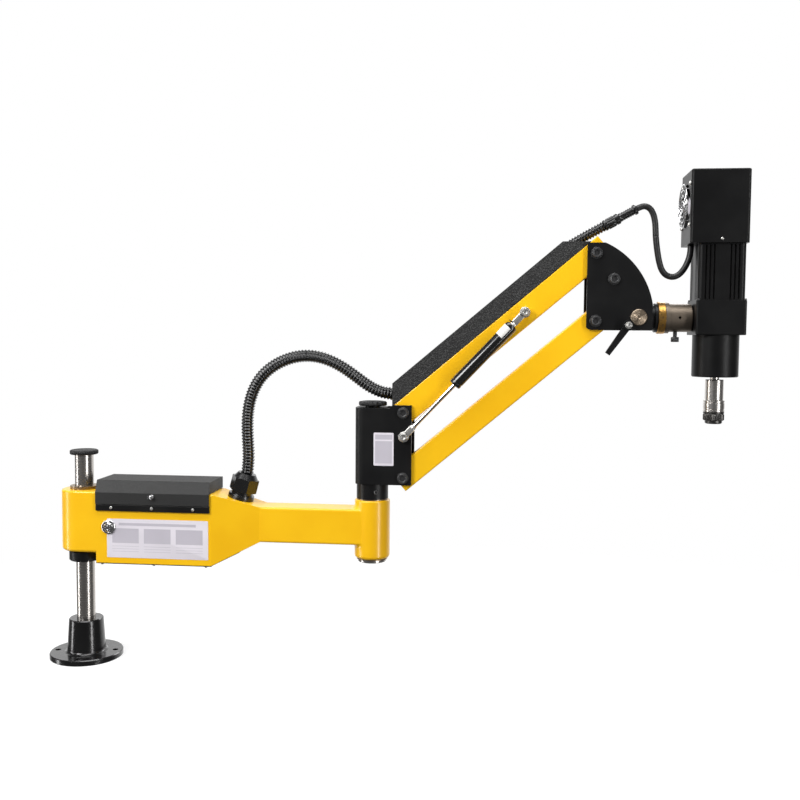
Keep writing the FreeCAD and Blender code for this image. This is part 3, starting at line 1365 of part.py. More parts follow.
def make_clamp_lever():
    """The lever that clamps the tilt: a hub on a stud, and a tapered arm with a square end."""
    x, z = d.tilt_x, d.tilt_z
    face = d.bracket_depth / 2 + d.face_gap
    lever = new_body("clamp_lever", x=x - d.lever_left, z=z - d.lever_drop, axis=Y_AXIS,
                     angle=HALF_TURN - d.lever_angle)
    hub = d.lever_hub_diameter / 2
    pad(lever, ring(new_sketch(lever, "XZ", face), 0, 0, hub), d.lever_hub_length)
    wide, tip = d.lever_width / 2, d.lever_tip_width / 2
    level = face + (d.lever_hub_length - d.lever_thickness) / 2
    pad(lever, outline(new_sketch(lever, "XZ", level), [
        (0, -wide), (d.lever_length, -tip), (d.lever_length, tip), (0, wide)]), d.lever_thickness)
    pad(lever, ring(new_sketch(lever, "XZ", face - d.plate_thickness), 0, 0, d.lever_stud_diameter / 2),
        d.plate_thickness + d.column_edge)
    socket = hexagon(new_sketch(lever, "XZ", face + d.lever_hub_length), d.lever_stud_diameter * 3 / 4)
    pocket(lever, socket, d.bolt_socket_depth)


def make_head():
    """The gear housing, output housing, motor and drive box, on the spindle's axis."""
    x = d.spindle_reach
    half = d.gear_width / 2
    gear = new_body("gear_housing", x=x)
    square = block(new_sketch(gear, "XY", d.gear_bottom), -half, -half, half, half)
    pad(gear, square, d.gear_top - d.gear_bottom)
    soften(gear, d.gear_edge, upright)
    bevel(gear, d.column_edge, lambda edge: near(edge.BoundBox.ZMin, d.gear_bottom)
          and near(edge.BoundBox.ZMax, d.gear_bottom))

    bore = d.spindle_neck_diameter / 2 + d.running_gap
    mouth, outer, low = d.housing_mouth_diameter / 2, d.housing_diameter / 2, d.housing_bottom
    shelf = low + d.cut_overrun
    turned("output_housing", [
        (bore, shelf), (mouth, shelf), (mouth, low), (outer - d.housing_edge, low),
        (outer, low + d.housing_edge), (outer, d.gear_bottom), (0, d.gear_bottom),
        (0, low + d.spindle_depth + d.soft_gap),
        (bore, low + d.spindle_depth + d.soft_gap)], x=x)

    side = d.motor_width / 2
    motor = new_body("motor_body", x=x)
    square = block(new_sketch(motor, "XY", d.gear_top), -side, -side, side, side)
    pad(motor, square, d.motor_top - d.gear_top)
    soften(motor, d.motor_edge, upright)
    fins = new_sketch(motor, "XZ", side)
    floor, roof = d.gear_top + d.motor_foot, d.motor_top - d.motor_foot
    for number in (2, 3, 4):
        for hand in (-1, 1):
            middle = hand * number * d.fin_pitch
            block(fins, middle - d.fin_width / 2, floor, middle + d.fin_width / 2, roof)
    cut = pocket(motor, fins, d.fin_depth)
    around(motor, cut, 4)

    left, right, deep, wall = d.drive_box_left, d.drive_box_right, d.drive_box_depth / 2, d.drive_box_wall
    box = new_body("drive_box", x=x)
    outside = block(new_sketch(box, "XY", d.motor_top), -left, -deep, right, deep)
    pad(box, outside, d.drive_box_top - d.motor_top)
    soften(box, d.drive_box_edge, upright)
    soften(box, d.drive_box_edge * 3 / 5, lambda edge: near(edge.BoundBox.ZMin, d.drive_box_top))
    hollow = block(new_sketch(box, "XY", d.motor_top),
                   -(left - wall), -(deep - wall), right - wall, deep - wall)
    pocket(box, hollow, d.drive_box_top - d.motor_top - wall, back=True)
    base = block(new_sketch(box, "XY", d.motor_top),
                 -(left - wall / 2), -(deep - wall / 2), right - wall / 2, deep - wall / 2)
    pad(box, base, wall)
    window = ring(new_sketch(box, "YZ", -(left - wall * 3)), 0, d.fan_height, d.fan_bore / 2)
    pocket(box, window, wall * 4, back=False)


def make_fan():
    """The cooling fan in the drive box's side: its frame, its wire guard and its rotor."""
    inner = d.spindle_reach - d.drive_box_left + d.drive_box_wall
    half = d.fan_width / 2
    frame = new_body("fan_frame", x=inner, z=d.fan_height)
    section = new_sketch(frame, "YZ")
    block(section, -half, -half, half, half)
    ring(section, 0, 0, d.fan_bore / 2)
    pad(frame, section, d.fan_frame_depth)
    soften(frame, d.drive_box_edge, lambda edge: isinstance(edge.Curve, (Part.Line, Part.LineSegment))
           and abs(edge.Curve.Direction.x) > 1 - 1e-6)
    rib = d.fan_blade_thickness * 2
    back = d.fan_frame_depth - rib
    for turned_over in (False, True):
        arm, reach = rib, half - rib
        strut = (-arm, -reach, arm, reach) if turned_over else (-reach, -arm, reach, arm)
        pad(frame, block(new_sketch(frame, "YZ", back), *strut), rib)
    pad(frame, ring(new_sketch(frame, "YZ", back), 0, 0, d.fan_hub_diameter / 2), rib)

    rotor = []
    hub = doc.addObject("Part::Cylinder", "rotor_hub")
    bind(hub, "Radius", d.fan_hub_diameter / 2)
    bind(hub, "Height", back - rib - d.soft_gap)
    place(hub, x=inner + rib, z=d.fan_height, axis=Y_AXIS, angle=RIGHT_ANGLE)
    rotor.append(hub)
    tip = d.fan_bore / 2 - d.fan_blade_tip_gap
    chord = (back - rib * 2) * 6 / 5
    for number in range(7):
        turn = number * 360 / 7
        blade = doc.addObject("Part::Box", "rotor_blade")
        root = d.fan_hub_diameter / 2 - d.fan_blade_thickness
        bind(blade, "Length", chord)
        bind(blade, "Width", d.fan_blade_thickness)
        bind(blade, "Height", tip - root)
        centre = Vector(inner.value + back.value / 2, 0, d.fan_height.value)
        pitch = FreeCAD.Placement(Vector(0, 0, 0), FreeCAD.Rotation(Z_AXIS, d.fan_blade_pitch_angle.value))
        shift = FreeCAD.Placement(
            Vector(-chord.value / 2, -d.fan_blade_thickness.value / 2, root.value), FreeCAD.Rotation())
        swing = FreeCAD.Placement(centre, FreeCAD.Rotation(X_AXIS, turn))
        blade.Placement = swing.multiply(pitch).multiply(shift)
        rotor.append(blade)
    fuse("fan_rotor", rotor)

    wire = d.guard_wire / 2
    face = d.spindle_reach - d.drive_box_left
    plane = face - d.guard_stand_off
    ring_step = d.fan_bore / 8
    pieces = []
    for number in range(1, 5):
        hoop = doc.addObject("Part::Torus", "guard_hoop")
        bind(hoop, "Radius1", ring_step * number)
        bind(hoop, "Radius2", wire)
        place(hoop, x=plane, z=d.fan_height, axis=Y_AXIS, angle=RIGHT_ANGLE)
        pieces.append(hoop)
    reach = ring_step * 4 + d.guard_wire
    for turn in (45, 135):
        bar = doc.addObject("Part::Cylinder", "guard_bar")
        bind(bar, "Radius", wire)
        bind(bar, "Height", reach * 2)
        behind = plane + wire * 5 / 4
        centre = Vector(behind.value, 0, d.fan_height.value)
        lay = FreeCAD.Placement(centre, FreeCAD.Rotation(X_AXIS, turn))
        bar.Placement = lay.multiply(FreeCAD.Placement(Vector(0, 0, -reach.value), FreeCAD.Rotation()))
        pieces.append(bar)
        for end in (-1, 1):
            leg = doc.addObject("Part::Cylinder", "guard_leg")
            bind(leg, "Radius", wire)
            bind(leg, "Height", face - behind)
            foot = lay.multVec(Vector(0, 0, end * (reach.value - wire.value)))
            leg.Placement = FreeCAD.Placement(foot, FreeCAD.Rotation(Y_AXIS, 90))
            pieces.append(leg)
    fuse("fan_guard", pieces)


def make_spindle():
    """The output spindle with its quick-change chuck, sliding sleeve and tap collet."""
    x = d.spindle_reach
    neck, chuck = d.spindle_neck_diameter / 2, d.chuck_diameter / 2
    stub = chuck * 5 / 8
    rise = d.collet_height * 4 / 3
    edge = d.column_edge
    turned("spindle", [
        (0, d.chuck_bottom + rise), (stub, d.chuck_bottom + rise), (stub, d.chuck_bottom),
        (chuck, d.chuck_bottom), (chuck, d.chuck_top - edge), (chuck - edge, d.chuck_top),
        (neck, d.chuck_top), (neck, d.housing_bottom + d.spindle_depth),
        (0, d.housing_bottom + d.spindle_depth)], x=x)
    turned("chuck_sleeve", tube_profile(
        chuck + d.running_gap, d.chuck_sleeve_diameter / 2, d.chuck_bottom + d.face_gap,
        d.chuck_bottom + d.chuck_sleeve_height, edge), x=x)
    nose = d.chuck_bottom - d.collet_height
    tip = nose - d.collet_tip_height
    bore = d.tap_bore_diameter / 2
    collet = turned("tap_collet", [
        (bore, tip), (d.collet_tip_diameter / 2 - edge, tip), (d.collet_tip_diameter / 2, tip + edge),
        (d.collet_tip_diameter / 2, nose), (d.collet_diameter / 2 - edge, nose),
        (d.collet_diameter / 2, nose + edge), (d.collet_diameter / 2, d.chuck_bottom),
        (stub, d.chuck_bottom), (stub, d.chuck_bottom + rise),
        (0, d.chuck_bottom + rise), (0, tip + d.tap_bore_length), (bore, tip + d.tap_bore_length)], x=x)
    flute = ring(new_sketch(collet, "XY", nose + edge), d.collet_diameter / 2 + edge / 2, 0, edge * 3 / 2)
    cut = pocket(collet, flute, d.collet_height - edge * 2, back=True)
    around(collet, cut, d.collet_flutes.value)


class Route:
    """A hose's centre line: straight runs joined by tangent arcs, in the XZ plane."""

    def __init__(self, label, points):
        points = [Vector(x, 0, z) for x, z in points]
        self.pieces = []
        start = points[0]
        radii = []
        for before, corner, after in zip(points, points[1:], points[2:]):
            inward, outward = corner - before, after - corner
            turn = inward.getAngle(outward)
            radius = 0.45 * min(inward.Length, outward.Length) / math.tan(turn / 2)
            setback = radius * math.tan(turn / 2)
            inward.normalize()
            outward.normalize()
            enter, leave = corner - inward * setback, corner + outward * setback
            pull = (outward - inward).normalize()
            centre = corner + pull * (radius / math.cos(turn / 2))
            middle = centre - pull * radius
            self.pieces.append((start, enter, None, None, (enter - start).Length))
            self.pieces.append((enter, leave, centre, middle, radius * turn))
            radii.append(round(radius))
            start = leave
        self.pieces.append((start, points[-1], None, None, (points[-1] - start).Length))
        self.length = sum(piece[4] for piece in self.pieces)
        print(label, "length", round(self.length, 1), "radii", radii)

    def wire(self):
        edges = []
        for start, end, centre, middle, length in self.pieces:
            if centre is None:
                edges.append(Part.LineSegment(start, end).toShape())
            else:
                edges.append(Part.Arc(start, middle, end).toShape())
        return Part.Wire(edges)

    def at(self, distance):
        """The point and the direction this far along."""
        for start, end, centre, middle, length in self.pieces:
            if distance <= length + 1e-9:
                break
            distance -= length
        if centre is None:
            way = (end - start).normalize()
            return start + way * min(distance, length), way
        arm = start - centre
        side = 1 if arm.cross(end - centre).y > 0 else -1
        turn = FreeCAD.Rotation(Y_AXIS, math.degrees(side * min(distance, length) / arm.Length))
        spoke = turn.multVec(arm)
        way = Vector(0, side, 0).cross(spoke).normalize()
        return centre + spoke, way


def hoop(centre, way, radius):
    circle = Part.Circle()
    circle.Center = centre
    circle.Axis = way
    circle.XAxis = Y_AXIS
    circle.Radius = radius
    return Part.Wire(circle.toShape())


def plain_tube(label, route, radius):
    """A round cable along a route."""
    start, way = route.at(0)
    shape = route.wire().makePipeShell([hoop(start, way, radius)], True, False)
    print(label, "volume", round(shape.Volume), "section times length",
          round(math.pi * radius ** 2 * route.length))
    return shape


def ribbed_tube(label, route, radius, bore):
    """A ribbed hose with its bore: four circles to each rib, on a steady axis."""
    ribs = int(route.length / d.rib_pitch.value)
    pitch = route.length / ribs
    low = radius - d.hose_groove_depth.value
    rings = []
    for number in range(ribs):
        for share, size in ((0.0, low), (0.2, radius), (0.6, radius), (0.8, low)):
            centre, way = route.at((number + share) * pitch)
            rings.append(hoop(centre, way, size))
    centre, way = route.at(route.length)
    rings.append(hoop(centre, way, low))
    shape = Part.makeLoft(rings, True, True)
    inner = plain_tube(label + " bore", route, bore)
    print(label, "ribs", ribs)
    return shape.cut(inner)


def make_hose_and_cable():
    """The ribbed hose to the cable cover, its tail with the strain relief, and the motor cable."""
    mouth, way = gland_exit()
    first = mouth + way * d.hose_diameter.value
    lower = [(mouth.x, mouth.z), (first.x, first.z)] + HOSE_LOWER_ROUTE + [HOSE_TOP]
    wall = (d.arm_reach + cover_end_offset() - d.soft_gap).value
    upper = [HOSE_TOP] + HOSE_UPPER_ROUTE + [(wall, HOSE_END_HEIGHT)]
    radius, bore = d.hose_diameter.value / 2, d.hose_bore.value / 2
    for label, route in (("hose_lower", lower), ("hose_upper", upper)):
        group(label, [ribbed_tube(label, Route(label, route), radius, bore)])
    tail = Route("hose_tail", TAIL_ROUTE)
    group("hose_tail", [ribbed_tube("hose_tail", tail, d.tail_diameter.value / 2, d.tail_bore.value / 2)])

    end, way = tail.at(tail.length)
    lean = math.degrees(math.atan2(way.x, way.z))
    fitting, sleeve, edge = d.fitting_diameter / 2, d.relief_diameter / 2, d.sleeve_edge / 2
    far = d.fitting_length + d.relief_length
    turned("strain_relief", [
        (0, 0), (fitting, 0), (fitting, d.fitting_length - edge), (fitting - edge, d.fitting_length),
        (sleeve, d.fitting_length), (sleeve, far - edge), (sleeve - edge, far), (0, far)],
        x=end.x, z=end.z, axis=Y_AXIS, angle=Size(lean, "%.9g deg" % lean))

    out = end + way * far.value
    lead = out + way * (d.cable_diameter.value * CABLE_LEAD_SHARE)
    first = [(out.x, out.z), (lead.x, lead.z)] + CABLE_FIRST_ROUTE + [CABLE_FIRST_END]
    middle = [CABLE_FIRST_END] + CABLE_MIDDLE_ROUTE + [CABLE_MIDDLE_END]
    last = [CABLE_MIDDLE_END] + CABLE_LAST_ROUTE + [(CABLE_END_LEFT, (d.motor_top - d.face_gap).value)]
    for label, route in (("cable_first", first), ("cable_middle", middle), ("cable_last", last)):
        group(label, [plain_tube(label, Route(label, route), d.cable_diameter.value / 2)])


def cover_end_offset():
    """How far the cable cover's upright lower end stands out from the swing axis."""
    half = d.link_height / 2
    return d.pivot_offset - d.trunk_overhang * cosine(d.link_angle) - half * sine(d.link_angle)


def check_and_write():
    """Refuse a failed feature or an empty or broken shape, then write one file per sub-part."""
    doc.recompute()
    for item in doc.Objects:
        if "Invalid" in item.State or "Error" in item.State:
            raise RuntimeError("%s failed: %s" % (item.Name, item.State))
    os.makedirs("parts", exist_ok=True)
    for part in parts:
        shape = part.Shape
        if shape.isNull() or not shape.isValid() or not shape.Solids:
            raise RuntimeError("%s has no sound shape" % part.Label)
        shape.exportStep(os.path.join("parts", part.Label + ".step"))
    print(len(parts), "sub-parts written")


make_stand()
make_collar()
make_base_arm()
make_base_arm_fittings()
make_power_button()
make_console_lid()
make_gland()
make_swing_bracket()
make_lock_knob()
make_links()
make_gas_spring()
make_head_bracket()
make_knuckle()
make_clamp_lever()
make_head()
make_fan()
make_spindle()
make_hose_and_cable()
check_and_write()
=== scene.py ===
# %% [markdown]
# # An arm tapping machine
# The machine stands on a bench flange. A cast arm swings round the column, a
# bracket swings at the arm's far end, and two parallel links carry the head with
# its motor and tap chuck. The solid model gives every size. These cells add the
# looks: the light, the paint and metal, the hose and cable, and the fine detail.

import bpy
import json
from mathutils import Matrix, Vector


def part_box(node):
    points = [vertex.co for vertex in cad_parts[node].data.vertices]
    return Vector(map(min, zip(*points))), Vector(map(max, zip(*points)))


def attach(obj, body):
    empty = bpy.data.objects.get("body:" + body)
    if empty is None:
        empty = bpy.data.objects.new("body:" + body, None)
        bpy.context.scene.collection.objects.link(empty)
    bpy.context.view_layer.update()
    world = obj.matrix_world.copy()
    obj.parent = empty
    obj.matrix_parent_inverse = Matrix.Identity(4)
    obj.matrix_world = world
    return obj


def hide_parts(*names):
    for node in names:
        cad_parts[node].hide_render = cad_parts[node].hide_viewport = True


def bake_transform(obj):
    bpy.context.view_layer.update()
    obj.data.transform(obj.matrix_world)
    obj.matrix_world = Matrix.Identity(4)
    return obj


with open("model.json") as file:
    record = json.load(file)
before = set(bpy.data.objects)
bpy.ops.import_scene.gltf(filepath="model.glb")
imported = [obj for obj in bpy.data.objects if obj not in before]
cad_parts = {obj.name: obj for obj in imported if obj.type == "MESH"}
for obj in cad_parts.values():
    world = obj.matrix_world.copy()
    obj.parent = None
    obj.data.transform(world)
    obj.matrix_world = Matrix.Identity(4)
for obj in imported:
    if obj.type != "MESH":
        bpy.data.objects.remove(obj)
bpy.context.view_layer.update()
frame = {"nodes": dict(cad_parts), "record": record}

# %% [markdown]
# Blender works in metres and a workshop drawing in millimetres. Sizes are written in
# millimetres here and turned into metres by one factor, so they read like the drawing.

# %% Modules and units
import json
import math
import bmesh
import bpy
from mathutils import Matrix, Vector

MM = 0.001
scene = bpy.context.scene
print("one millimetre is", MM, "of Blender's units")

# %% [markdown]
# ## Camera
# The photograph looks almost level at the machine's front, from a little to the
# right. A long lens keeps the arm's parallels nearly parallel. The camera's three
# axes are worked out from a turn, a dip and a small roll, the way a tripod head
# is set, which is easier to adjust than Euler angles.

# %% Camera
TURN, DIP, ROLL = math.radians(6.147), math.radians(3.616), math.radians(0.413)
STAND = (0.80234, -1.75142, 0.62073)
FOCAL_LENGTH, FILM_WIDTH = 42.75, 36
NEAREST, FARTHEST = 0.05, 50
ARM_MIDDLE = (0.6, 0, 0.5)
forward = Vector((-math.sin(TURN) * math.cos(DIP), math.cos(TURN) * math.cos(DIP), -math.sin(DIP)))
side = Vector((math.cos(TURN), math.sin(TURN), 0))
above = side.cross(forward)
right = side * math.cos(ROLL) + above * math.sin(ROLL)
up = above * math.cos(ROLL) - side * math.sin(ROLL)

lens = bpy.data.cameras.new("camera")
lens.lens = FOCAL_LENGTH
lens.sensor_width = FILM_WIDTH
lens.clip_start = NEAREST
lens.clip_end = FARTHEST
camera = bpy.data.objects.new("camera", lens)
axes = Matrix((right, up, -forward)).transposed().to_4x4()
camera.matrix_world = Matrix.Translation(STAND) @ axes
scene.collection.objects.link(camera)
scene.camera = camera
print("camera stands", round((Vector(ARM_MIDDLE) - Vector(STAND)).length, 2), "m from the arm")

# %% [markdown]
# ## Shader arithmetic
# A material is a net of nodes. Drawing it by hand gets long, so this class wraps
# one output of a node: adding or multiplying wraps adds the Math node that does
# it, and `node` adds any other kind. What is built then reads like its formula, and
# every net comes out the same each time, which drawing by hand can't promise.

# %% A wrapped socket
class Wire:
    """One output of a shader node, or a whole tree when it has no output yet."""

    def __init__(self, tree, output=None):
        self.tree, self.output = tree, output

    def node(self, kind, settings=None, sockets=None, out=0):
        """Add a node: its settings first, then the values or links of its sockets."""
        made = self.tree.nodes.new("ShaderNode" + kind)
        for name, setting in (settings or {}).items():
            setattr(made, name, setting)
        for key, value in (sockets or {}).items():
            if isinstance(value, Wire):
                self.tree.links.new(value.output, made.inputs[key])
            else:
                made.inputs[key].default_value = value
        return Wire(self.tree, made.outputs[out])

    def maths(self, operation, first, second=0.0):
        return self.node("Math", {"operation": operation}, {0: first, 1: second})

    def __add__(self, other):
        return self.maths("ADD", self, other)

    def __sub__(self, other):
        return self.maths("SUBTRACT", self, other)

    def __rsub__(self, other):
        return self.maths("SUBTRACT", other, self)

    def __mul__(self, other):
        return self.maths("MULTIPLY", self, other)

    __radd__ = __add__
    __rmul__ = __mul__

    def between(self, low, high):
        """0 below low, 1 above high, and a smooth step between them."""
        return self.node("MapRange", {"interpolation_type": "SMOOTHSTEP"},
                         {"Value": self, "From Min": low, "From Max": high})

# %% [markdown]
# ## Studio
# The machine is black and yellow and partly mirror-bright, so the light decides how
# it looks. A pale floor lies under it and fades into a white backdrop, as a lit paper
# roll would. Only the eye sees that white. What the metal mirrors is a dim room that is
# bright at the back: black enamel then stays black, its rims catch the light, and the
# lamps draw clear highlights on it. One white sky all round would need fewer nodes, but
# it would turn every black grey. For the same reason the floor neither lights the
# machine nor shows in its metal.

# %% Floor
def new_object(name, data):
    """Put a mesh or a curve into the scene as an object."""
    thing = bpy.data.objects.new(name, data)
    scene.collection.objects.link(thing)
    return thing


HALF_FLOOR = 6.0
floor_corners = [(x * HALF_FLOOR, y * HALF_FLOOR, 0) for x, y in ((-1, -1), (1, -1), (1, 1), (-1, 1))]
floor_mesh = bpy.data.meshes.new("floor")
floor_mesh.from_pydata(floor_corners, [], [(0, 1, 2, 3)])
floor = new_object("floor", floor_mesh)
floor.visible_diffuse = False
floor.visible_glossy = False
floor.visible_shadow = False
print("floor laid,", 2 * HALF_FLOOR, "m wide")

# %% [markdown]
# The sky's strength follows the direction: dim in front, bright at the back, with a
# soft step between. A ray that comes straight from the eye gets plain white instead,
# so the backdrop is the same paper white from every side.

# %% Sky
DIM_SKY, BRIGHT_SKY = 0.11, 1.05
STEP_STARTS, STEP_ENDS = 0.35, 0.8
world = bpy.data.worlds.new("studio")
scene.world = world
world.use_nodes = True
sky = Wire(world.node_tree)
direction = sky.node("TexCoord")
toward_back = sky.node("SeparateXYZ", None, {0: direction}, out=1)
glow = DIM_SKY + toward_back.between(STEP_STARTS, STEP_ENDS) * (BRIGHT_SKY - DIM_SKY)
from_the_eye = sky.node("LightPath")
strength = glow * (1 - from_the_eye) + from_the_eye
backdrop = world.node_tree.nodes["Background"]
backdrop.inputs["Color"].default_value = (1.0, 1.0, 1.0, 1)
world.node_tree.links.new(strength.output, backdrop.inputs["Strength"])
scene.view_settings.view_transform = "Standard"
print("sky set from", DIM_SKY, "to", BRIGHT_SKY)

# %% [markdown]
# Five soft boxes light the machine. The key and the fill stand well to the sides, so
# that flat black plates don't mirror them straight into the lens. The fill and the
# strip on the left are tall and reach below the floor: the ground steel shows them as
# long bright bands down its length. One box hangs above, and one behind draws rims.

# %% Lamps
def lamp(name, place, target, size, watts):
    """A rectangular soft box that looks at its target."""
    data = bpy.data.lights.new(name, "AREA")
    data.shape = "RECTANGLE"
    data.size, data.size_y = size
    data.energy = watts
    thing = new_object(name, data)
    thing.location = place
    thing.rotation_euler = (Vector(target) - Vector(place)).to_track_quat("-Z", "Y").to_euler()


BELOW_MIDDLE = (0.6, 0, 0.45)
LAMPS = [("key_lamp", (-1.2, -2.2, 1.9), BELOW_MIDDLE, (1.3, 1.1), 68),
         ("fill_lamp", (2.9, -1.9, 0.5), ARM_MIDDLE, (0.5, 3.0), 42),
         ("top_lamp", (0.5, -0.5, 2.5), (0.6, 0, 0), (2.4, 1.2), 50),
         ("left_strip", (-1.7, -0.5, 0.3), (0, 0, 0.3), (0.3, 2.6), 17),
         ("back_lamp", (1.6, 2.1, 1.6), BELOW_MIDDLE, (1.0, 1.0), 16)]
for settings in LAMPS:
    lamp(*settings)
print(len(LAMPS), "lamps hung")

# %% [markdown]
# ## Patterns in the object's own space
# Every solid keeps the machine's coordinates, in metres. Noise that reads those
# has the same real size on every piece, and it stays put when a joint moves.

# %% Noise and coordinates
def place_of(tree):
    """Where the point lies in the object's own space, in metres."""
    return tree.node("TexCoord", out=3)


def stretched(tree, scale):
    """The same place, multiplied along X, Y and Z: a small number draws a pattern out."""
    return tree.node("Mapping", None, {"Vector": place_of(tree), "Scale": scale})


def noise(tree, scale, detail=2.0, roughness=0.5, vector=None):
    """Soft random clouds between 0 and 1."""
    vector = place_of(tree) if vector is None else vector
    return tree.node("TexNoise", None, {"Vector": vector, "Scale": scale, "Detail": detail,
                                        "Roughness": roughness})


def mix(tree, share, first, second):
    """A colour between two colours, by a share from 0 to 1."""
    first = (*first, 1) if isinstance(first, tuple) else first
    second = (*second, 1) if isinstance(second, tuple) else second
    return tree.node("Mix", {"data_type": "RGBA"}, {0: share, 6: first, 7: second}, out=2)


print("patterns ready")

# %% [markdown]
# Real edges are never razor sharp, and the thin bright line on a rounded edge tells
# the eye that a thing is solid. The solids have true edges, so the shader's Bevel
# node bends the normal near them by half a millimetre or so. Rounding every edge in
# the mesh would look the same from here and take far more faces.

# %% Relief and new materials
def relief(tree, height, depth, strength=1.0, edge=0.0006):
    """A normal from a height between 0 and 1 that stands this many metres deep, with eased edges."""
    eased = tree.node("Bevel", {"samples": 4}, {"Radius": edge})
    return tree.node("Bump", None, {"Height": height, "Distance": depth, "Strength": strength,
                                    "Normal": eased})


def material(name, **fixed):
    """A new material: its tree and its main shader, with the sockets that stay constant."""
    made = bpy.data.materials.new(name)
    made.use_nodes = True
    tree = Wire(made.node_tree)
    shader = made.node_tree.nodes["Principled BSDF"]
    for key, value in fixed.items():
        shader.inputs[key.replace("_", " ")].default_value = value
    return made, tree, shader


def drive(tree, shader, **wires):
    """Link the sockets that vary over the surface."""
    for key, wire in wires.items():
        tree.tree.links.new(wire.output, shader.inputs[key.replace("_", " ")])


print("shader helpers ready")

# %% [markdown]
# ## Yellow paint
# The casting and the links are powder coated: a strong warm yellow, glossy, with
# the shallow waves called orange peel. Dust dulls it in faint patches, and small
# scuffs show as paler, rougher specks.

# %% Yellow paint
DEEP_YELLOW, BRIGHT_YELLOW, SCUFFED_YELLOW = (0.93, 0.50, 0.004), (0.98, 0.56, 0.006), (0.95, 0.62, 0.06)


def yellow_paint():
    """Glossy powder coat with orange peel, patches of dust and a few scuffs."""
    made, tree, shader = material("yellow_paint", IOR=1.48, Coat_Weight=0.25, Coat_Roughness=0.1)
    patches = noise(tree, 9.0, 3.0)
    peel = noise(tree, 620.0, 1.0)
    waves = noise(tree, 110.0, 1.0)
    scuffs = noise(tree, 55.0, 6.0, 0.7, stretched(tree, (1.0, 1.0, 6.0))).between(0.66, 0.74)
    color = mix(tree, patches.between(0.3, 0.7), DEEP_YELLOW, BRIGHT_YELLOW)
    drive(tree, shader, Base_Color=mix(tree, scuffs * 0.2, color, SCUFFED_YELLOW),
          Roughness=0.27 + patches * 0.08 + scuffs * 0.16,
          Normal=relief(tree, waves * 0.7 + peel * 0.3, 0.00012, 0.45, 0.0012))
    return made


YELLOW = yellow_paint()
print("yellow paint mixed")

# %% [markdown]
# ## Black finishes
# The machine wears several blacks: gloss enamel on the rough cast flange, satin
# coating on plate steel, a coarse crinkle on the cable cover, and moulded nylon.
# One recipe serves them all, since they differ only in gloss, grain and tint.

# %% A black coat
def black_coat(name, shade, gloss, grain, depth, dust=0.3, coat=0.0, worn=0.0, shine=0.5):
    """A dark coating: gloss is its roughness, grain its texture's scale, depth its relief in metres."""
    made, tree, shader = material(name, Coat_Weight=coat, Coat_Roughness=0.07, Specular_IOR_Level=shine)
    cloud = noise(tree, 14.0, 4.0)
    fine = noise(tree, grain, 3.0, 0.6)
    speck = noise(tree, 900.0, 2.0).between(0.62, 0.72)
    dusted = shade * 1.6 + 0.006
    dark, light = (shade, shade, shade * 1.06), (dusted, dusted, dusted)
    color = mix(tree, cloud.between(0.35, 0.75) * dust + speck * worn, dark, light)
    drive(tree, shader, Base_Color=color,
          Roughness=(gloss - 0.05) + cloud * 0.1 + fine * 0.06,
          Normal=relief(tree, fine, depth, 0.8))
    return made


CAST_BLACK = black_coat("cast_black", 0.004, 0.20, 160.0, 0.0004, coat=0.4)
SATIN_BLACK = black_coat("satin_black", 0.005, 0.36, 700.0, 0.00004, dust=0.4, worn=0.1, shine=0.26)
BOX_BLACK = black_coat("box_black", 0.004, 0.34, 1100.0, 0.00006, dust=0.3, worn=0.2, shine=0.2)
MATTE_PLASTIC = black_coat("matte_plastic", 0.010, 0.48, 1500.0, 0.00004, shine=0.4)
GLOSS_PLASTIC = black_coat("gloss_plastic", 0.006, 0.24, 500.0, 0.00003, coat=0.35)
HOSE_BLACK = black_coat("hose_black", 0.004, 0.2, 90.0, 0.00001, dust=0.2, coat=0.5)
CABLE_SHEATH = black_coat("cable_sheath", 0.010, 0.38, 1200.0, 0.00004, dust=0.5)
OILED_STEEL = black_coat("oiled_steel", 0.026, 0.28, 800.0, 0.00004, dust=0.5, worn=0.5, shine=0.8)
TUBE_BLACK = black_coat("tube_black", 0.005, 0.2, 300.0, 0.00002, coat=0.6)
print("black coats mixed")

# %% [markdown]
# The crinkle finish dries into a skin of rounded grains about two millimetres wide.
# Cells from a Voronoi texture, softened by noise, have that look. Their colour is
# painted shade in the hollows between the grains and painted light on their tops.
# The lid has the same kind of skin, but far finer and more even.

# %% Crinkle finish
def crinkle(name, low, high, size, depth):
    """A skin of grains: low is the painted shade between them and high the painted light on their tops, size
    how many fit in a metre.
    """
    made, tree, shader = material(name, IOR=1.45)
    wander = tree.node("TexNoise", None, {"Vector": place_of(tree), "Scale": size * 1.4}, out=1)
    shift = tree.node("VectorMath", {"operation": "SCALE"}, {0: wander, "Scale": 0.5 / size})
    warped = tree.node("VectorMath", {"operation": "ADD"}, {0: place_of(tree), 1: shift})
    grains = tree.node("TexVoronoi", {"feature": "SMOOTH_F1"}, {
        "Vector": warped, "Scale": size, "Smoothness": 0.6})
    cloud = noise(tree, 22.0, 3.0)
    height = 1 - grains
    # Painted shade between the grains and painted light on their tops: the colour follows each grain's
    # height.
    color = mix(tree, height.between(0.45, 0.95) * 0.7 + cloud * 0.2,
                (low, low, low), (high, high, high * 0.98))
    drive(tree, shader, Base_Color=color, Roughness=0.46 + grains * 0.25,
          Normal=relief(tree, height, depth))
    return made


CRINKLE = crinkle("crinkle_black", 0.004, 0.075, 420.0, 0.0008)
LID_GREY = crinkle("lid_grey", 0.010, 0.040, 1500.0, 0.00008)
print("crinkle finish mixed")

# %% [markdown]
# ## Bare metals
# Ground steel is bright, with fine lines left round it by the grinding wheel and
# long reflections down it. Turned, blasted and polished pieces share the recipe:
# they differ in tint, gloss, and how far the fine lines are stretched.

# %% A bare metal
TURNED_EDGE = 0.0004


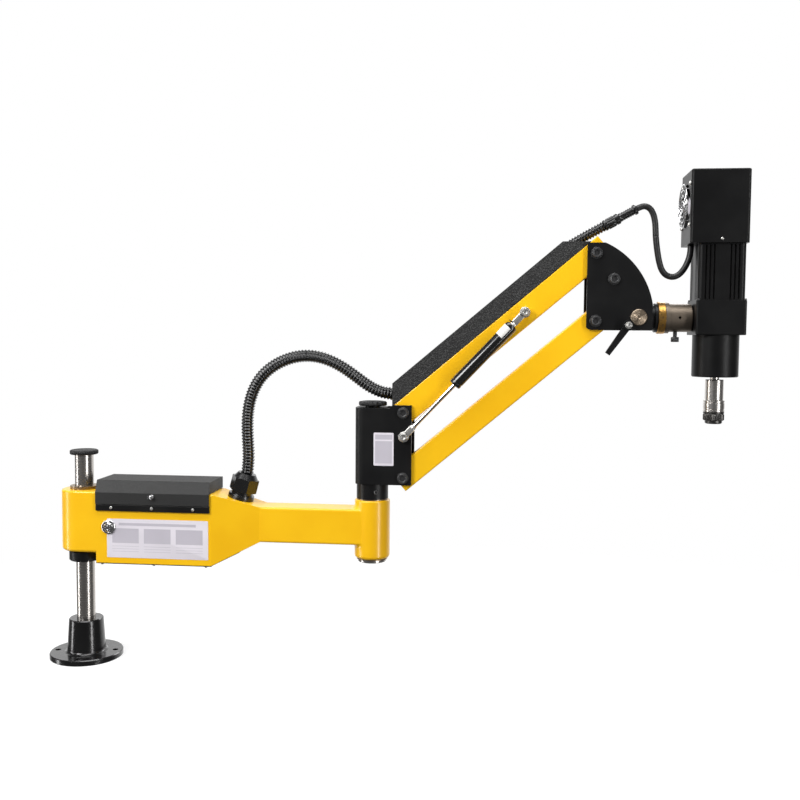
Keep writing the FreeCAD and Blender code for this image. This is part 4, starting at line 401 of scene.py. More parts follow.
def bare_metal(name, tint, gloss, stretch, depth, scale=260.0, stain=0.2):
    """Metal with fine marks: stretch draws the marks out along X, Y or Z by small numbers."""
    made, tree, shader = material(name, Metallic=1.0)
    marks = noise(tree, scale, 4.0, 0.65, stretched(tree, stretch))
    cloud = noise(tree, 18.0, 4.0)
    spots = noise(tree, 160.0, 5.0, 0.7).between(0.62, 0.75)
    darker = tuple(channel * 0.6 for channel in tint)
    color = mix(tree, cloud.between(0.3, 0.8) * stain + spots * stain, tint, darker)
    drive(tree, shader, Base_Color=color,
          Roughness=(gloss - 0.04) + marks * 0.1 + spots * 0.08,
          Normal=relief(tree, marks, depth, 0.6, TURNED_EDGE))
    return made


GROUND_STEEL = bare_metal("ground_steel", (0.54, 0.51, 0.48), 0.26, (0.05, 0.05, 6.0), 0.000008)
SPINDLE_STEEL = bare_metal("spindle_steel", (0.66, 0.63, 0.60), 0.25, (0.1, 0.1, 5.0), 0.000008, stain=0.1)
BLASTED_STEEL = bare_metal("blasted_steel", (0.20, 0.165, 0.13), 0.46, (1.0, 1.0, 1.0), 0.00006, 1400.0, 0.3)
PIN_STEEL = bare_metal("pin_steel", (0.34, 0.27, 0.20), 0.34, (1.0, 1.0, 1.0), 0.00003, 900.0, 0.12)
BRONZE = bare_metal("bronze", (0.34, 0.26, 0.17), 0.34, (0.1, 0.1, 4.0), 0.00002)
BRASS = bare_metal("brass", (0.56, 0.31, 0.08), 0.32, (4.0, 0.1, 0.1), 0.00002, stain=0.35)
CHROME = bare_metal("chrome", (0.74, 0.74, 0.75), 0.09, (1.0, 1.0, 1.0), 0.00001, 600.0, 0.08)
ZINC = bare_metal("zinc", (0.74, 0.73, 0.70), 0.36, (1.0, 1.0, 1.0), 0.00001, 900.0, 0.12)
DARK_STEEL = bare_metal("dark_steel", (0.10, 0.097, 0.093), 0.34, (1.0, 1.0, 1.0), 0.00003, 900.0, 0.35)
ALUMINIUM = bare_metal("aluminium", (0.6, 0.6, 0.61), 0.35, (1.0, 6.0, 1.0), 0.00003, 400.0, 0.15)
print("metals polished")

# %% [markdown]
# ## Plate film, glass and floor
# The plates are pale film with a slight satin, and so is the paper of the spring's
# label. The screen under the lid is dark glass. The floor glows a little by itself
# and turns clear before its edge, so it melts into the backdrop without a line.

# %% Pale film, glass and floor paint
def pale_film(name, shade):
    """Smooth film or paper with a fine fibre."""
    made, tree, shader = material(name, IOR=1.45)
    cloud = noise(tree, 30.0, 4.0)
    fibre = noise(tree, 1800.0, 2.0)
    dull = tuple(channel * 0.9 for channel in shade)
    drive(tree, shader, Base_Color=mix(tree, cloud, shade, dull), Roughness=0.38 + fibre * 0.12,
          Normal=relief(tree, fibre, 0.00001, 0.5, 0.0001))
    return made


FLOOR_GLOW = 0.78
FADE_STARTS, FADE_ENDS = 0.9, 1.6


def floor_paint():
    """Pale paint that fades out round the arm's middle, sooner to the back than to the sides."""
    made, tree, shader = material("floor_paint", Emission_Strength=FLOOR_GLOW)
    cloud = noise(tree, 1.2, 3.0)
    aside = tree.node("SeparateXYZ", None, {0: place_of(tree)}) - ARM_MIDDLE[0]
    behind = tree.node("SeparateXYZ", None, {0: place_of(tree)}, out=1)
    from_middle = tree.node("Math", {"operation": "SQRT"}, {0: aside * aside + behind * behind * 2.0})
    drive(tree, shader, Base_Color=mix(tree, cloud, (0.30, 0.30, 0.30), (0.34, 0.34, 0.34)),
          Roughness=0.7 + cloud * 0.1,
          Emission_Color=mix(tree, cloud, (0.97, 0.97, 0.97), (1.0, 1.0, 1.0)),
          Alpha=1 - from_middle.between(FADE_STARTS, FADE_ENDS))
    return made


PALE_FILM = pale_film("pale_film", (0.80, 0.76, 0.82))
PANEL_FILM = pale_film("panel_film", (0.56, 0.53, 0.59))
PAPER = pale_film("paper_band", (0.78, 0.77, 0.74))
ENGRAVED = pale_film("engraved_ink", (0.035, 0.02, 0.012))
DARK_GLASS = black_coat("dark_glass", 0.004, 0.1, 60.0, 0.00001, dust=0.1, coat=0.8)
floor.data.materials.append(floor_paint())
print("films and floor ready")

# %% [markdown]
# ## Finishes on the solids
# Most solids keep their own mesh and only get a finish. This table is the paint
# shop's list: which finish goes on which piece.

# %% Paint list
PAINT = {
    YELLOW: "arm_casting upper_link lower_link",
    CAST_BLACK: "base_flange",
    GROUND_STEEL: "column swing_post gas_rod bracket_spacer",
    SPINDLE_STEEL: "spindle chuck_sleeve",
    SATIN_BLACK: "bracket_channel head_plate_front head_plate_rear post_collar stop_collar lid_hinge "
                 "tilt_knuckle console_strip bottom_cover spring_stud_lower spring_stud_upper "
                 "clamp_lever",
    OILED_STEEL: "swing_bolts head_bolts collar_screw thumb_screw",
    BRONZE: "hub_bushes upper_link_bushes lower_link_bushes",
    PIN_STEEL: "tilt_pin",
    BRASS: "angle_ring",
    BLASTED_STEEL: "head_sleeve",
    CHROME: "fan_guard button_bezel power_button",
    ZINC: "panel_screws lid_knob",
    DARK_STEEL: "tap_collet",
    ALUMINIUM: "servo_drive",
    BOX_BLACK: "drive_box gear_housing output_housing motor_body",
    TUBE_BLACK: "gas_cylinder",
    CRINKLE: "cable_cover",
    LID_GREY: "console_lid",
    MATTE_PLASTIC: "column_cap lock_knob fan_frame fan_rotor control_panel",
    GLOSS_PLASTIC: "gland_body gland_nut strain_relief hose_tail hose_lower hose_upper",
    CABLE_SHEATH: "cable_first cable_middle cable_last",
}
for finish, names in PAINT.items():
    for name in names.split():
        for holder in frame["nodes"][name].material_slots:
            holder.material = finish
print(sum(len(names.split()) for names in PAINT.values()), "solids painted")

# %% [markdown]
# ## Hose and cable
# A corrugated hose brings the wires from the box to the cover on the upper link,
# and a cable goes on from there to the head. Each hangs on one smooth curve whose
# control points are the route's points, and a tube is swept along that curve. The
# hose's upper stretch and the cable's middle one are drawn from their far ends back.

# %% Read points from a smooth curve
def smooth_curve(name, points):
    """The vertices, in metres, of a NURBS curve whose control points are given in millimetres."""
    curve = bpy.data.curves.new(name, "CURVE")
    curve.dimensions = "3D"
    curve.resolution_u = 24
    spline = curve.splines.new("NURBS")
    spline.points.add(len(points) - 1)
    for knot, (x, z) in zip(spline.points, points):
        knot.co = (x * MM, 0, z * MM, 1)
    spline.order_u = 3
    spline.use_endpoint_u = True
    carrier = new_object(name, curve)
    bpy.context.view_layer.update()
    mesh = bpy.data.meshes.new_from_object(carrier)
    raw = [vertex.co.copy() for vertex in mesh.vertices]
    bpy.data.objects.remove(carrier)
    bpy.data.meshes.remove(mesh)
    return raw


def evenly(raw, count):
    """Points at equal steps along a line, and the line's length."""
    reach = [0.0]
    for before, after in zip(raw, raw[1:]):
        reach.append(reach[-1] + (after - before).length)
    line, index = [], 0
    for number in range(count + 1):
        wanted = reach[-1] * number / count
        while index < len(raw) - 2 and reach[index + 1] < wanted:
            index += 1
        share = (wanted - reach[index]) / (reach[index + 1] - reach[index])
        line.append(raw[index].lerp(raw[index + 1], min(max(share, 0), 1)))
    return line, reach[-1]


print("curve reader ready")

# %% [markdown]
# A tube, a turned part and a pressed plate are all built the same way: rings of
# corners, one after another, with a skin of four-sided faces between each two. So
# one helper makes the skin, and the others only have to say where the corners lie.
# Blender's own curve bevel sweeps a tube too, but its radius changes only at the
# curve's control points, and each rib of the hose needs several rings of its own.

# %% Skin and sweep
def turns(count):
    """Equal steps of angle round a full circle."""
    return [2 * math.pi * number / count for number in range(count)]


def skin(bm, rings, hollow=False):
    """Join each ring of corners to the next, and cap both ends. A hollow part's last ring joins its first."""
    for first, second in zip(rings, rings[1:] + rings[:1] if hollow else rings[1:]):
        for index in range(len(first)):
            after = (index + 1) % len(first)
            bm.faces.new((first[index], first[after], second[after], second[index]))
    if not hollow:
        bm.faces.new(rings[0][::-1])
        bm.faces.new(rings[-1])


def sweep(name, line, radius_at, sides=28):
    """A tube round a line in the XZ plane. radius_at gives the radius at each point's number."""
    bm = bmesh.new()
    across = Vector((0, 1, 0))
    rings = []
    for number, centre in enumerate(line):
        before, after = line[max(number - 1, 0)], line[min(number + 1, len(line) - 1)]
        outward = across.cross((after - before).normalized()).normalized()
        radius = radius_at(number)
        rings.append([bm.verts.new(centre + (across * math.cos(turn) + outward * math.sin(turn)) * radius)
                      for turn in turns(sides)])
    skin(bm, rings)
    mesh = bpy.data.meshes.new(name)
    bmesh.ops.recalc_face_normals(bm, faces=bm.faces)
    bm.to_mesh(mesh)
    bm.free()
    mesh.shade_smooth()
    return new_object(name, mesh)


print("tube sweeper ready")

# %% [markdown]
# The routes are read off the photograph through the camera, in millimetres along X
# and Z. They start and end where the solid hose and cable do, and the stretches that
# meet share their last point. A rib of the hose is a few rings, each at its share of
# the rib's depth: a flat crest, steep flanks and a narrow groove.

# %% The routes, as the solid hose and cable run
HOSE_LOWER = [(322.8, 366.2), (326.0, 389.4), (325.2, 417.3), (323.6, 445.2), (323.8, 473.2),
              (327.6, 501.2), (336.6, 528.1), (351.6, 551.7), (372.7, 570.0), (397.7, 582.8),
              (424.8, 589.8), (438.8, 589.8)]
HOSE_UPPER = [(601.7, 520.6), (585.0, 522.6), (568.3, 528.0), (550.5, 537.8), (527.6, 554.7), (505.0, 570.3),
              (479.9, 582.8), (452.8, 589.8), (438.8, 589.8)]
HOSE_TAIL = [(911.0, 788.2), (934.0, 801.8), (957.0, 815.0), (980.0, 827.3)]
CABLE_FIRST = [(1036.5, 857.4), (1044.5, 861.7), (1053.2, 862.3), (1061.0, 857.4), (1066.2, 848.2),
               (1069.4, 835.5), (1070.6, 821.5), (1071.2, 808.5)]
CABLE_MIDDLE = [(1096.4, 737.6), (1090.4, 739.4), (1083.0, 748.3), (1078.6, 761.0), (1075.3, 777.0),
                (1072.5, 795.5), (1071.2, 808.5)]
CABLE_LAST = [(1096.4, 737.6), (1102.4, 735.8), (1112.9, 740.0), (1121.0, 749.2), (1127.3, 761.0),
              (1132.5, 778.5), (1132.5, 792.9)]
HOSE_RADIUS, TAIL_RADIUS, CABLE_RADIUS = 12.0 * MM, 9.5 * MM, 5.5 * MM
RIB_PITCH, RIB_DEPTH = 5.8 * MM, 1.9 * MM
RIB_SHARES = (0.0, 0.1, 0.8, 1.0, 0.8, 0.1)
print("routes hold", len(HOSE_LOWER) + len(HOSE_UPPER), "hose points")

# %% [markdown]
# Each stretch is swept as a tube of its own, and the solid stretch that it stands for is hidden.

# %% Ribbed tube and the hose
def ribbed(name, points, radius):
    """A corrugated tube with its ribs at an even pitch, its line and its length."""
    raw = smooth_curve(name, points)
    ribs = round(evenly(raw, 1)[1] / RIB_PITCH)
    line, length = evenly(raw, ribs * len(RIB_SHARES))
    groove = [RIB_DEPTH * (1 - share) for share in RIB_SHARES]
    tube = sweep(name, line, lambda number: radius - groove[number % len(groove)])
    tube.data.materials.append(HOSE_BLACK)
    print(name, "is", round(length, 3), "m long with", ribs, "ribs")
    return tube, line, length


def hang(tube, line, length, radius, bodies, solid, slot):
    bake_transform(tube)
    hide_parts(solid)
    2 * radius


hang(*ribbed("hose_lower_tube", HOSE_LOWER, HOSE_RADIUS), HOSE_RADIUS,
     ("base_arm", "swing_bracket"), "hose_lower", "hose_plastic")
hang(*ribbed("hose_upper_tube", HOSE_UPPER, HOSE_RADIUS), HOSE_RADIUS,
     ("upper_link", "swing_bracket"), "hose_upper", "hose_plastic")
tail = ribbed("hose_tail_tube", HOSE_TAIL, TAIL_RADIUS)[0]
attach(tail, "upper_link")
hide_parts("hose_tail")

# %% [markdown]
# The motor's cable is a smooth rubber sheath, so it needs no ribs. It crosses three
# joints on its way, the arm's far pivot, the tilt and the roll, and so it is drawn
# as three stretches.

# %% Motor cable
CABLE_STEPS = 40


def plain_cable(name, points, bodies, solid):
    """One stretch of the cable, swept along its route; the bodies at its ends are not used."""
    line, length = evenly(smooth_curve(name, points), CABLE_STEPS)
    tube = sweep(name, line, lambda number: CABLE_RADIUS, sides=24)
    tube.data.materials.append(CABLE_SHEATH)
    hang(tube, line, length, CABLE_RADIUS, bodies, solid, "cable_rubber")
    print(name, "is", round(length, 3), "m long")


plain_cable("cable_first_tube", CABLE_FIRST, ("upper_link", "head_bracket"), "cable_first")
plain_cable("cable_middle_tube", CABLE_MIDDLE, ("tilt_knuckle", "head_bracket"), "cable_middle")
plain_cable("cable_last_tube", CABLE_LAST, ("tilt_knuckle", "head"), "cable_last")

# %% [markdown]
# ## Lathe and press
# Small parts are turned on a lathe or cut from plate, so two helpers make nearly all
# of them. The lathe turns an outline of radius and height. A radius may also be a
# function of the angle, and that one idea gives hexagons, knurls, scallops and cross
# slots without any boolean cut. Parts are drawn in millimetres on a place, which is
# a matrix that also turns them into metres.

# %% A place for a part
FRONT, BACK, UP, DOWN, LEFT = (0, -1, 0), (0, 1, 0), (0, 0, 1), (0, 0, -1), (-1, 0, 0)
ALONG_X = (1, 0, 0)


def facing(origin, axis, across=(0, 0, 1)):
    """Local Z lies along the axis, local X as near to `across` as it can. The origin is in millimetres."""
    along = Vector(axis).normalized()
    hint = Vector(across) if abs(along.dot(Vector(across))) < 0.99 else Vector(ALONG_X)
    first = (hint - along * hint.dot(along)).normalized()
    turn = Matrix((first, along.cross(first), along)).transposed().to_4x4()
    return Matrix.Translation(Vector(origin) * MM) @ turn @ Matrix.Scale(MM, 4)


print("places ready")

# %% [markdown]
# The lathe's outline runs from the bottom to the top, and a hollow part's outline
# closes on itself. The Screw modifier turns outlines too, but only round ones.

# %% Lathe
def lathe(bm, profile, place, sides=60, hollow=False):
    """Turn an outline of (radius, height), bottom first. A hollow part joins its last ring to its first."""
    rings = []
    for radius, height in profile:
        ring = []
        for turn in turns(sides):
            reach = radius(turn) if callable(radius) else radius
            corner = Vector((reach * math.cos(turn), reach * math.sin(turn), height))
            ring.append(bm.verts.new(place @ corner))
        rings.append(ring)
    skin(bm, rings, hollow)


def hexagon(flats):
    """The radius of a hexagon that is this wide across its flats, at each angle."""
    return lambda turn: flats / 2 / math.cos((turn % (math.pi / 3)) - math.pi / 6)


def knurl(radius, count, depth):
    """The radius of a rim with this many waves, as deep as given."""
    return lambda turn: radius - depth * (0.5 - 0.5 * math.cos(count * turn))


def cross_slot(reach, width):
    """The outline of a cross with four arms."""
    def radius(turn):
        aside = abs((turn + math.pi / 4) % (math.pi / 2) - math.pi / 4)
        return min(reach / math.cos(aside), width / 2 / max(math.sin(aside), 1e-6))
    return radius


print("lathe ready")

# %% [markdown]
# The press raises a flat outline to a plate or a bar and rounds its upper rim, since
# a cut or moulded edge is never sharp. The lower rim lies on another part, unseen.

# %% Press
def press(bm, corners, low, high, place, edge=0.0):
    """A flat outline of (x, y) raised from low to high, with a rounded upper rim."""
    foot_ring, roof_ring = ([bm.verts.new(place @ Vector((x, y, height))) for x, y in corners]
                            for height in (low, high))
    skin(bm, [foot_ring, roof_ring])
    if edge:
        rim = [bm.edges.get((one, other)) for one, other in zip(roof_ring, roof_ring[1:] + roof_ring[:1])]
        bmesh.ops.bevel(bm, geom=rim, offset=edge * MM, segments=3, affect="EDGES", profile=0.5)


def box_outline(x, y, width, height):
    """A plain rectangle with its middle at (x, y)."""
    return [(x + hand * width / 2, y + side_y * height / 2)
            for hand, side_y in ((-1, -1), (1, -1), (1, 1), (-1, 1))]


def rounded(width, height, radius, steps=6):
    """A rectangle about the origin with rounded corners."""
    corners = []
    for number, (x, y) in enumerate(((1, 1), (-1, 1), (-1, -1), (1, -1))):
        for step in range(steps + 1):
            turn = math.pi / 2 * (number + step / steps)
            corners.append((x * (width / 2 - radius) + radius * math.cos(turn),
                            y * (height / 2 - radius) + radius * math.sin(turn)))
    return corners


print("press ready")

# %% [markdown]
# Every piece is finished the same way: its faces are turned outward, it is smooth but
# for its real edges, it hangs on the body that moves it, and the solids it stands for
# are hidden. One helper does it all, so no piece can miss a step.

# %% Deliver a piece
def deliver(name, bm, finish, body, slot, *solids, crease=32):
    """Paint a piece, hang it on its body, and hide the solids it stands for."""
    bmesh.ops.recalc_face_normals(bm, faces=bm.faces)
    mesh = bpy.data.meshes.new(name)
    bm.to_mesh(mesh)
    bm.free()
    mesh.materials.append(finish)
    mesh.shade_smooth()
    mesh.set_sharp_from_angle(angle=math.radians(crease))
    piece = new_object(name, mesh)
    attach(piece, body)
    if solids:
        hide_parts(*solids)
    print(name, "has", len(mesh.polygons), "faces")


print("pieces can be delivered")

# %% [markdown]
# The solid of a set of screws is one node, so its screws have no names. Loose parts
# of its mesh are the single screws, and their boxes say where each one stands. This
# keeps the looks in step with the solid model: no place is typed twice.

# %% Find the loose solids of a node
def loose_boxes(node):
    """The lowest and highest corner of each loose solid in a node, in millimetres, from left to right."""
    bm = bmesh.new()
    bm.from_mesh(frame["nodes"][node].data)
    bmesh.ops.remove_doubles(bm, verts=bm.verts, dist=1e-6)
    waiting, boxes = set(bm.verts), []
    while waiting:
        group = [waiting.pop()]
        low, high = group[0].co.copy(), group[0].co.copy()
        while group:
            spot = group.pop()
            low = Vector(map(min, low, spot.co))
            high = Vector(map(max, high, spot.co))
            near = [edge.other_vert(spot) for edge in spot.link_edges if edge.other_vert(spot) in waiting]
            waiting.difference_update(near)
            group.extend(near)
        boxes.append((low / MM, high / MM))
    bm.free()
    return sorted(boxes, key=lambda box: (round(box[0].x, 1), round(box[0].z, 1)))


def corners_of(node):
    """The lowest and highest corner of a node's box, in millimetres."""
    low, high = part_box(node)
    return Vector(low) / MM, Vector(high) / MM


def middle_and_half(node):
    """The middle of a node's box and half its size, in millimetres."""
    low, high = corners_of(node)
    return (low + high) / 2, (high - low) / 2


def joint_place(name):
    """Where a joint's axis passes, in millimetres."""
    for joint in frame["record"]["behaviour"]["joints"]:
        if joint["name"] == name:
            return Vector(joint["pos_m"]) / MM
    raise KeyError(name)


print(len(loose_boxes("panel_screws")), "panel screws found")

# %% [markdown]
# ## Screws and bolts
# The pivots turn on big cap screws with a hexagon socket, each on a washer, and a
# nut holds it at the back. Their heads are turned with a fine knurl, and a chamfer
# leads into the socket. The thin covers are held by small screws with a cross slot.

# %% Screw makers
def cap_screw(bm, place, radius, height, flats, knurls=0):
    """A cap screw's head that stands on its place, with a socket about half as deep as the head."""
    edge = height * 0.12
    rim = knurl(radius, knurls, radius * 0.025) if knurls else radius
    socket = hexagon(flats)
    lathe(bm, [(radius * 0.96, 0), (rim, edge), (rim, height - edge * 1.6), (radius - edge * 1.4, height),
               (flats * 0.66, height), (flats * 0.585, height - edge * 0.5), (socket, height - edge * 0.7),
               (socket, height * 0.42), (flats * 0.1, height * 0.36)], place, sides=120 if knurls else 60)


def washer(bm, place, inner, outer, thickness):
    """A flat ring with its outer edges broken."""
    edge = thickness * 0.25
    lathe(bm, [(inner, 0), (outer - edge, 0), (outer, edge), (outer, thickness - edge),
               (outer - edge, thickness), (inner, thickness)], place, hollow=True)


def nut(bm, place, flats, height, stub_radius, stub):
    """A hexagon nut with rounded corners, and the bolt's end that stands out of it."""
    full = hexagon(flats)

    def eased(turn):
        return min(full(turn), flats * 0.54)
    lathe(bm, [(flats * 0.47, 0), (eased, height * 0.12), (full, height * 0.2),
               (full, height * 0.8), (eased, height * 0.9), (flats * 0.46, height),
               (stub_radius * 1.15, height), (stub_radius, height - 0.4), (stub_radius, height + stub - 0.8),
               (stub_radius - 0.8, height + stub)], place)


def pan_screw(bm, place, radius, height):
    """A small domed screw with a cross slot."""
    lathe(bm, [(radius * 0.96, 0), (radius, height * 0.3), (radius * 0.9, height * 0.7),
               (radius * 0.66, height), (cross_slot(radius * 0.52, radius * 0.24), height),
               (cross_slot(radius * 0.44, radius * 0.18), height * 0.35)], place, sides=72)


print("screw makers ready")

# %% [markdown]
# A pivot's solid is one plain bolt. Its box gives the place, the head's width and how
# far it stands out, and the screw, washers and nut are drawn to those.

# %% Pivot bolts
WASHER, NUT_HEIGHT, BOLT_STUB, HEAD_KNURLS = 1.4, 6.0, 0.6, 48


def pivot_bolts(name, node, body, front, back):
    """Cap screws in front and nuts behind, one pair for each loose solid of the node."""
    bm = bmesh.new()
    for low, high in loose_boxes(node):
        x, z = (low.x + high.x) / 2, (low.z + high.z) / 2
        radius = (high.x - low.x) / 2
        head = front - low.y - WASHER
        for y, axis in ((front, FRONT), (back, BACK)):
            washer(bm, facing((x, y, z), axis), radius * 0.5, radius, WASHER)
        cap_screw(bm, facing((x, front - WASHER, z), FRONT), radius * 0.84, head, radius * 0.95, HEAD_KNURLS)
        nut(bm, facing((x, back + WASHER, z), BACK, (1, 0, 0.4)), radius * 1.7, NUT_HEIGHT, radius * 0.5,
            BOLT_STUB)
    deliver(name, bm, OILED_STEEL, body, "black_steel", node)


plate_front, plate_back = corners_of("head_plate_front")[0].y, corners_of("head_plate_rear")[1].y
channel_low, channel_high = corners_of("bracket_channel")
pivot_bolts("swing_pivot_bolts", "swing_bolts", "swing_bracket", channel_low.y, channel_high.y)
pivot_bolts("head_pivot_bolts", "head_bolts", "head_bracket", plate_front, plate_back)

# %% [markdown]
# The box's small screws face three ways: to the front in the lid's strip, down in the
# bottom cover, and up elsewhere. The thin side of a screw's box tells which. Each is
# turned a little, as a screw never stops with its slot straight.

# %% Panel screws
BOX_MIDDLE_Z = 250


def panel_screws():
    bm = bmesh.new()
    for low, high in loose_boxes("panel_screws"):
        centre, size = (low + high) / 2, high - low
        if size.y < size.z:
            pan_screw(bm, facing((centre.x, high.y, centre.z), FRONT, (1, 0, 0.5)), size.x / 2, size.y)
        else:
            foot_z, axis = (high.z, DOWN) if centre.z < BOX_MIDDLE_Z else (low.z, UP)
            pan_screw(bm, facing((centre.x, centre.y, foot_z), axis, (1, 0.4, 0)), size.x / 2, size.z)
    deliver("cross_slot_screws", bm, ZINC, "base_arm", "zinc_screw", "panel_screws")


panel_screws()

# %% [markdown]
# ## Column and flange
# The column is a bright ground bar that stands in a cast flange. Its cap is a
# moulded disc with a coarse knurl round the rim and a shallow dish on top.

# %% Column cap
CAP_RIM = 8.5


def column_cap():
    low, high = corners_of("column_cap")
    radius, thickness = (high.x - low.x) / 2, CAP_RIM
    base = high.z - thickness
    rim = knurl(radius, 48, 0.9)
    bm = bmesh.new()
    lathe(bm, [(6, low.z - base), (6, 0), (radius - 1.6, 0), (rim, 1.4), (rim, thickness - 1.6),
               (radius - 1.9, thickness - 0.2), (radius - 3.2, thickness), (radius - 4.2, thickness - 0.5),
               (radius - 5.4, thickness - 0.8), (8, thickness - 1.0), (7, thickness - 0.6),
               (2, thickness - 0.6)],
          facing((0, 0, base), UP, ALONG_X), sides=288)
    deliver("knurled_cap", bm, MATTE_PLASTIC, "stand", "cap_plastic", "column_cap", crease=50)


column_cap()

# %% [markdown]
# ## Lock knob
# A flat hand knob on the post locks the bracket's swing. Its rim has deep scallops
# for the fingers, so its outline is a radius that changes with the angle.

# %% Lock knob
SCALLOPS, KNOB_RIM = 16, 8.5


def lock_knob():
    low, high = corners_of("lock_knob")
    radius, height = (high.x - low.x) / 2, high.z - low.z
    scallops, eased = knurl(radius, SCALLOPS, 2.6), knurl(radius - 1.6, SCALLOPS, 2.4)
    neck, under = 14.0, height - KNOB_RIM
    bm = bmesh.new()
    lathe(bm, [(neck, 0), (neck, under - 0.4), (radius - 6.0, under), (eased, under),
               (scallops, under + 1.4), (scallops, height - 2.2), (eased, height - 0.7),
               (radius - 5.6, height), (radius - 8.0, height - 0.2), (radius - 9.0, height - 1.4),
               (9.5, height - 1.4), (8.5, height - 0.4), (3.0, height - 0.2)],
          facing(((low.x + high.x) / 2, 0, low.z), UP, ALONG_X), sides=192)
    deliver("scalloped_knob", bm, MATTE_PLASTIC, "lock_knob", "knob_plastic", "lock_knob", crease=50)


lock_knob()

# %% [markdown]
# ## Box on the base arm
# The box's front and the bracket each carry a pale plate, blank but for ruled frames.
# A plate is a film with a rounded rim, and its frames stand a hair proud of it: two
# faces in one plane would flicker.

# %% Blank plates
FILM_TOP, FRAME_FOOT, FRAME_TOP = 0.35, 0.34, 0.38


def blank_plate(name, centre, width, height, body, frames):
    """A thin film on a front face, and the ruled frames (x, y, width, height) on it."""
    place = facing(centre, FRONT, ALONG_X)
    bm = bmesh.new()
    press(bm, rounded(width, height, 2.0), 0.02, FILM_TOP, place, edge=0.12)
    deliver(name, bm, PALE_FILM, body, "panel_plastic")
    bm = bmesh.new()
    for frame_box in frames:
        press(bm, box_outline(*frame_box), FRAME_FOOT, FRAME_TOP, place)
    deliver(name + "_frames", bm, PANEL_FILM, body, "panel_plastic")


CASTING_FRONT = -42.0
heading = (0, 27.0, 150.0, 5.0)
panels = [heading]
for x in (-62.0, 0.0, 62.0):
    panels.append((x, 5.0, 52.0, 28.0))
    panels.extend((x, y, 52.0, 0.7) for y in (-15.0, -20.0, -25.0))
blank_plate("box_front_plate", (160.5, CASTING_FRONT, 243.0), 197.0, 74.0, "base_arm", panels)
blank_plate("bracket_plate", (587.5, channel_low.y, 420.5), 37.0, 61.0, "swing_bracket",
            [(0, 22.5, 31.0, 9.0), (0, -5.5, 31.0, 41.0)])

# %% [markdown]
# The push button is bright steel: a ring in the box's wall, and a cap that travels in
# it, with a shallow groove round its middle. They are two pieces on two bodies, with a
# real gap between them, because a drawn line would not move with the cap.

# %% Push button
def push_button():
    """The ring, hollow so that the cap runs in it, and the cap."""
    centre, half = middle_and_half("button_bezel")
    cap_centre, cap_half = middle_and_half("power_button")
    rim, cap, front = half.x, cap_half.x, centre.y - half.y
    proud = front - (cap_centre.y - cap_half.y)
    place = facing((centre.x, front, centre.z), FRONT)
    bm = bmesh.new()
    lathe(bm, [(cap + 0.15, -24.0), (rim - 5.5, -24.0), (rim - 5.5, -3.5), (rim - 0.3, -3.5), (rim, -3.1),
               (rim, -1.4), (rim - 0.9, -0.4), (rim - 2.2, 0), (rim - 3.4, -0.15), (rim - 3.7, -0.9),
               (cap + 1.0, -0.9), (cap + 0.4, -0.3), (cap + 0.15, -0.6)], place, sides=96, hollow=True)
    deliver("button_ring", bm, CHROME, "base_arm", "bright_steel", "button_bezel")
    bm = bmesh.new()
    lathe(bm, [(cap, -12.0), (cap, proud - 1.2), (cap - 0.8, proud - 0.3), (cap - 2.0, proud),
               (cap * 0.62, proud), (cap * 0.58, proud - 0.5), (cap * 0.46, proud - 0.5), (cap * 0.42, proud),
               (1.4, proud), (0.9, proud - 0.3)], place, sides=96)
    deliver("button_cap", bm, CHROME, "power_button", "bright_steel", "power_button")


push_button()

# %% [markdown]
# The lid's knob is a small chromed pull: a foot, a waist for the fingers and a domed
# head. One turned outline has them all, and its shares of the radius keep its shape
# when the solid's size changes.

# %% Lid knob
def lid_knob():
    centre, half = middle_and_half("lid_knob")
    radius, length = half.x, 2 * half.y
    bm = bmesh.new()
    lathe(bm, [(radius * 0.98, 0), (radius, 0.5), (radius * 0.9, 1.2), (radius * 0.6, 1.5),
               (radius * 0.55, 3.0), (radius * 0.85, 4.0), (radius, 5.6), (radius * 0.94, length - 1.8),
               (radius * 0.7, length - 0.5), (radius * 0.35, length), (radius * 0.3, length - 0.7)],
          facing((centre.x, centre.y + half.y, centre.z), FRONT), sides=64)
    deliver("lid_pull", bm, CHROME, "console_lid", "zinc_screw", "lid_knob")


lid_knob()

# %% [markdown]
# Under the lid a dark glass screen lies in the panel's recess, with a row of flat
# keys beside it. The lid hides them in the photograph, so they stay plain.

# %% Screen and keys
SCREEN_X, SCREEN_SIZE = 86.0, (111.0, 57.0)
KEY_SIZE, KEY_PITCH, KEY_FROM_EDGE = (14.0, 10.0), 16.0, 22.0


def screen_and_keys():
    low, high = corners_of("control_panel")
    bm = bmesh.new()
    press(bm, rounded(*SCREEN_SIZE, 1.5), -0.78, 0.2, facing((low.x + SCREEN_X, 0, high.z), UP, ALONG_X),
          edge=0.3)
    deliver("screen_glass", bm, DARK_GLASS, "base_arm", "panel_plastic")
    bm = bmesh.new()
    for row in (-1, 0, 1):
        place = facing((high.x - KEY_FROM_EDGE, row * KEY_PITCH, high.z), UP, ALONG_X)
        press(bm, rounded(*KEY_SIZE, 2.0), 0.02, 1.2, place, edge=0.5)
    deliver("panel_keys", bm, GLOSS_PLASTIC, "base_arm", "panel_plastic")


screen_and_keys()

# %% [markdown]
# ## Gas spring
# The spring's rod and tube end in bright zinc rod ends, which are flat bars with an
# eye. A paper label and a black wire clip sit at the tube's upper end. Each part is
# drawn along the spring's own axis, from one pivot to the other, so it lies on the
# solid's line by itself.

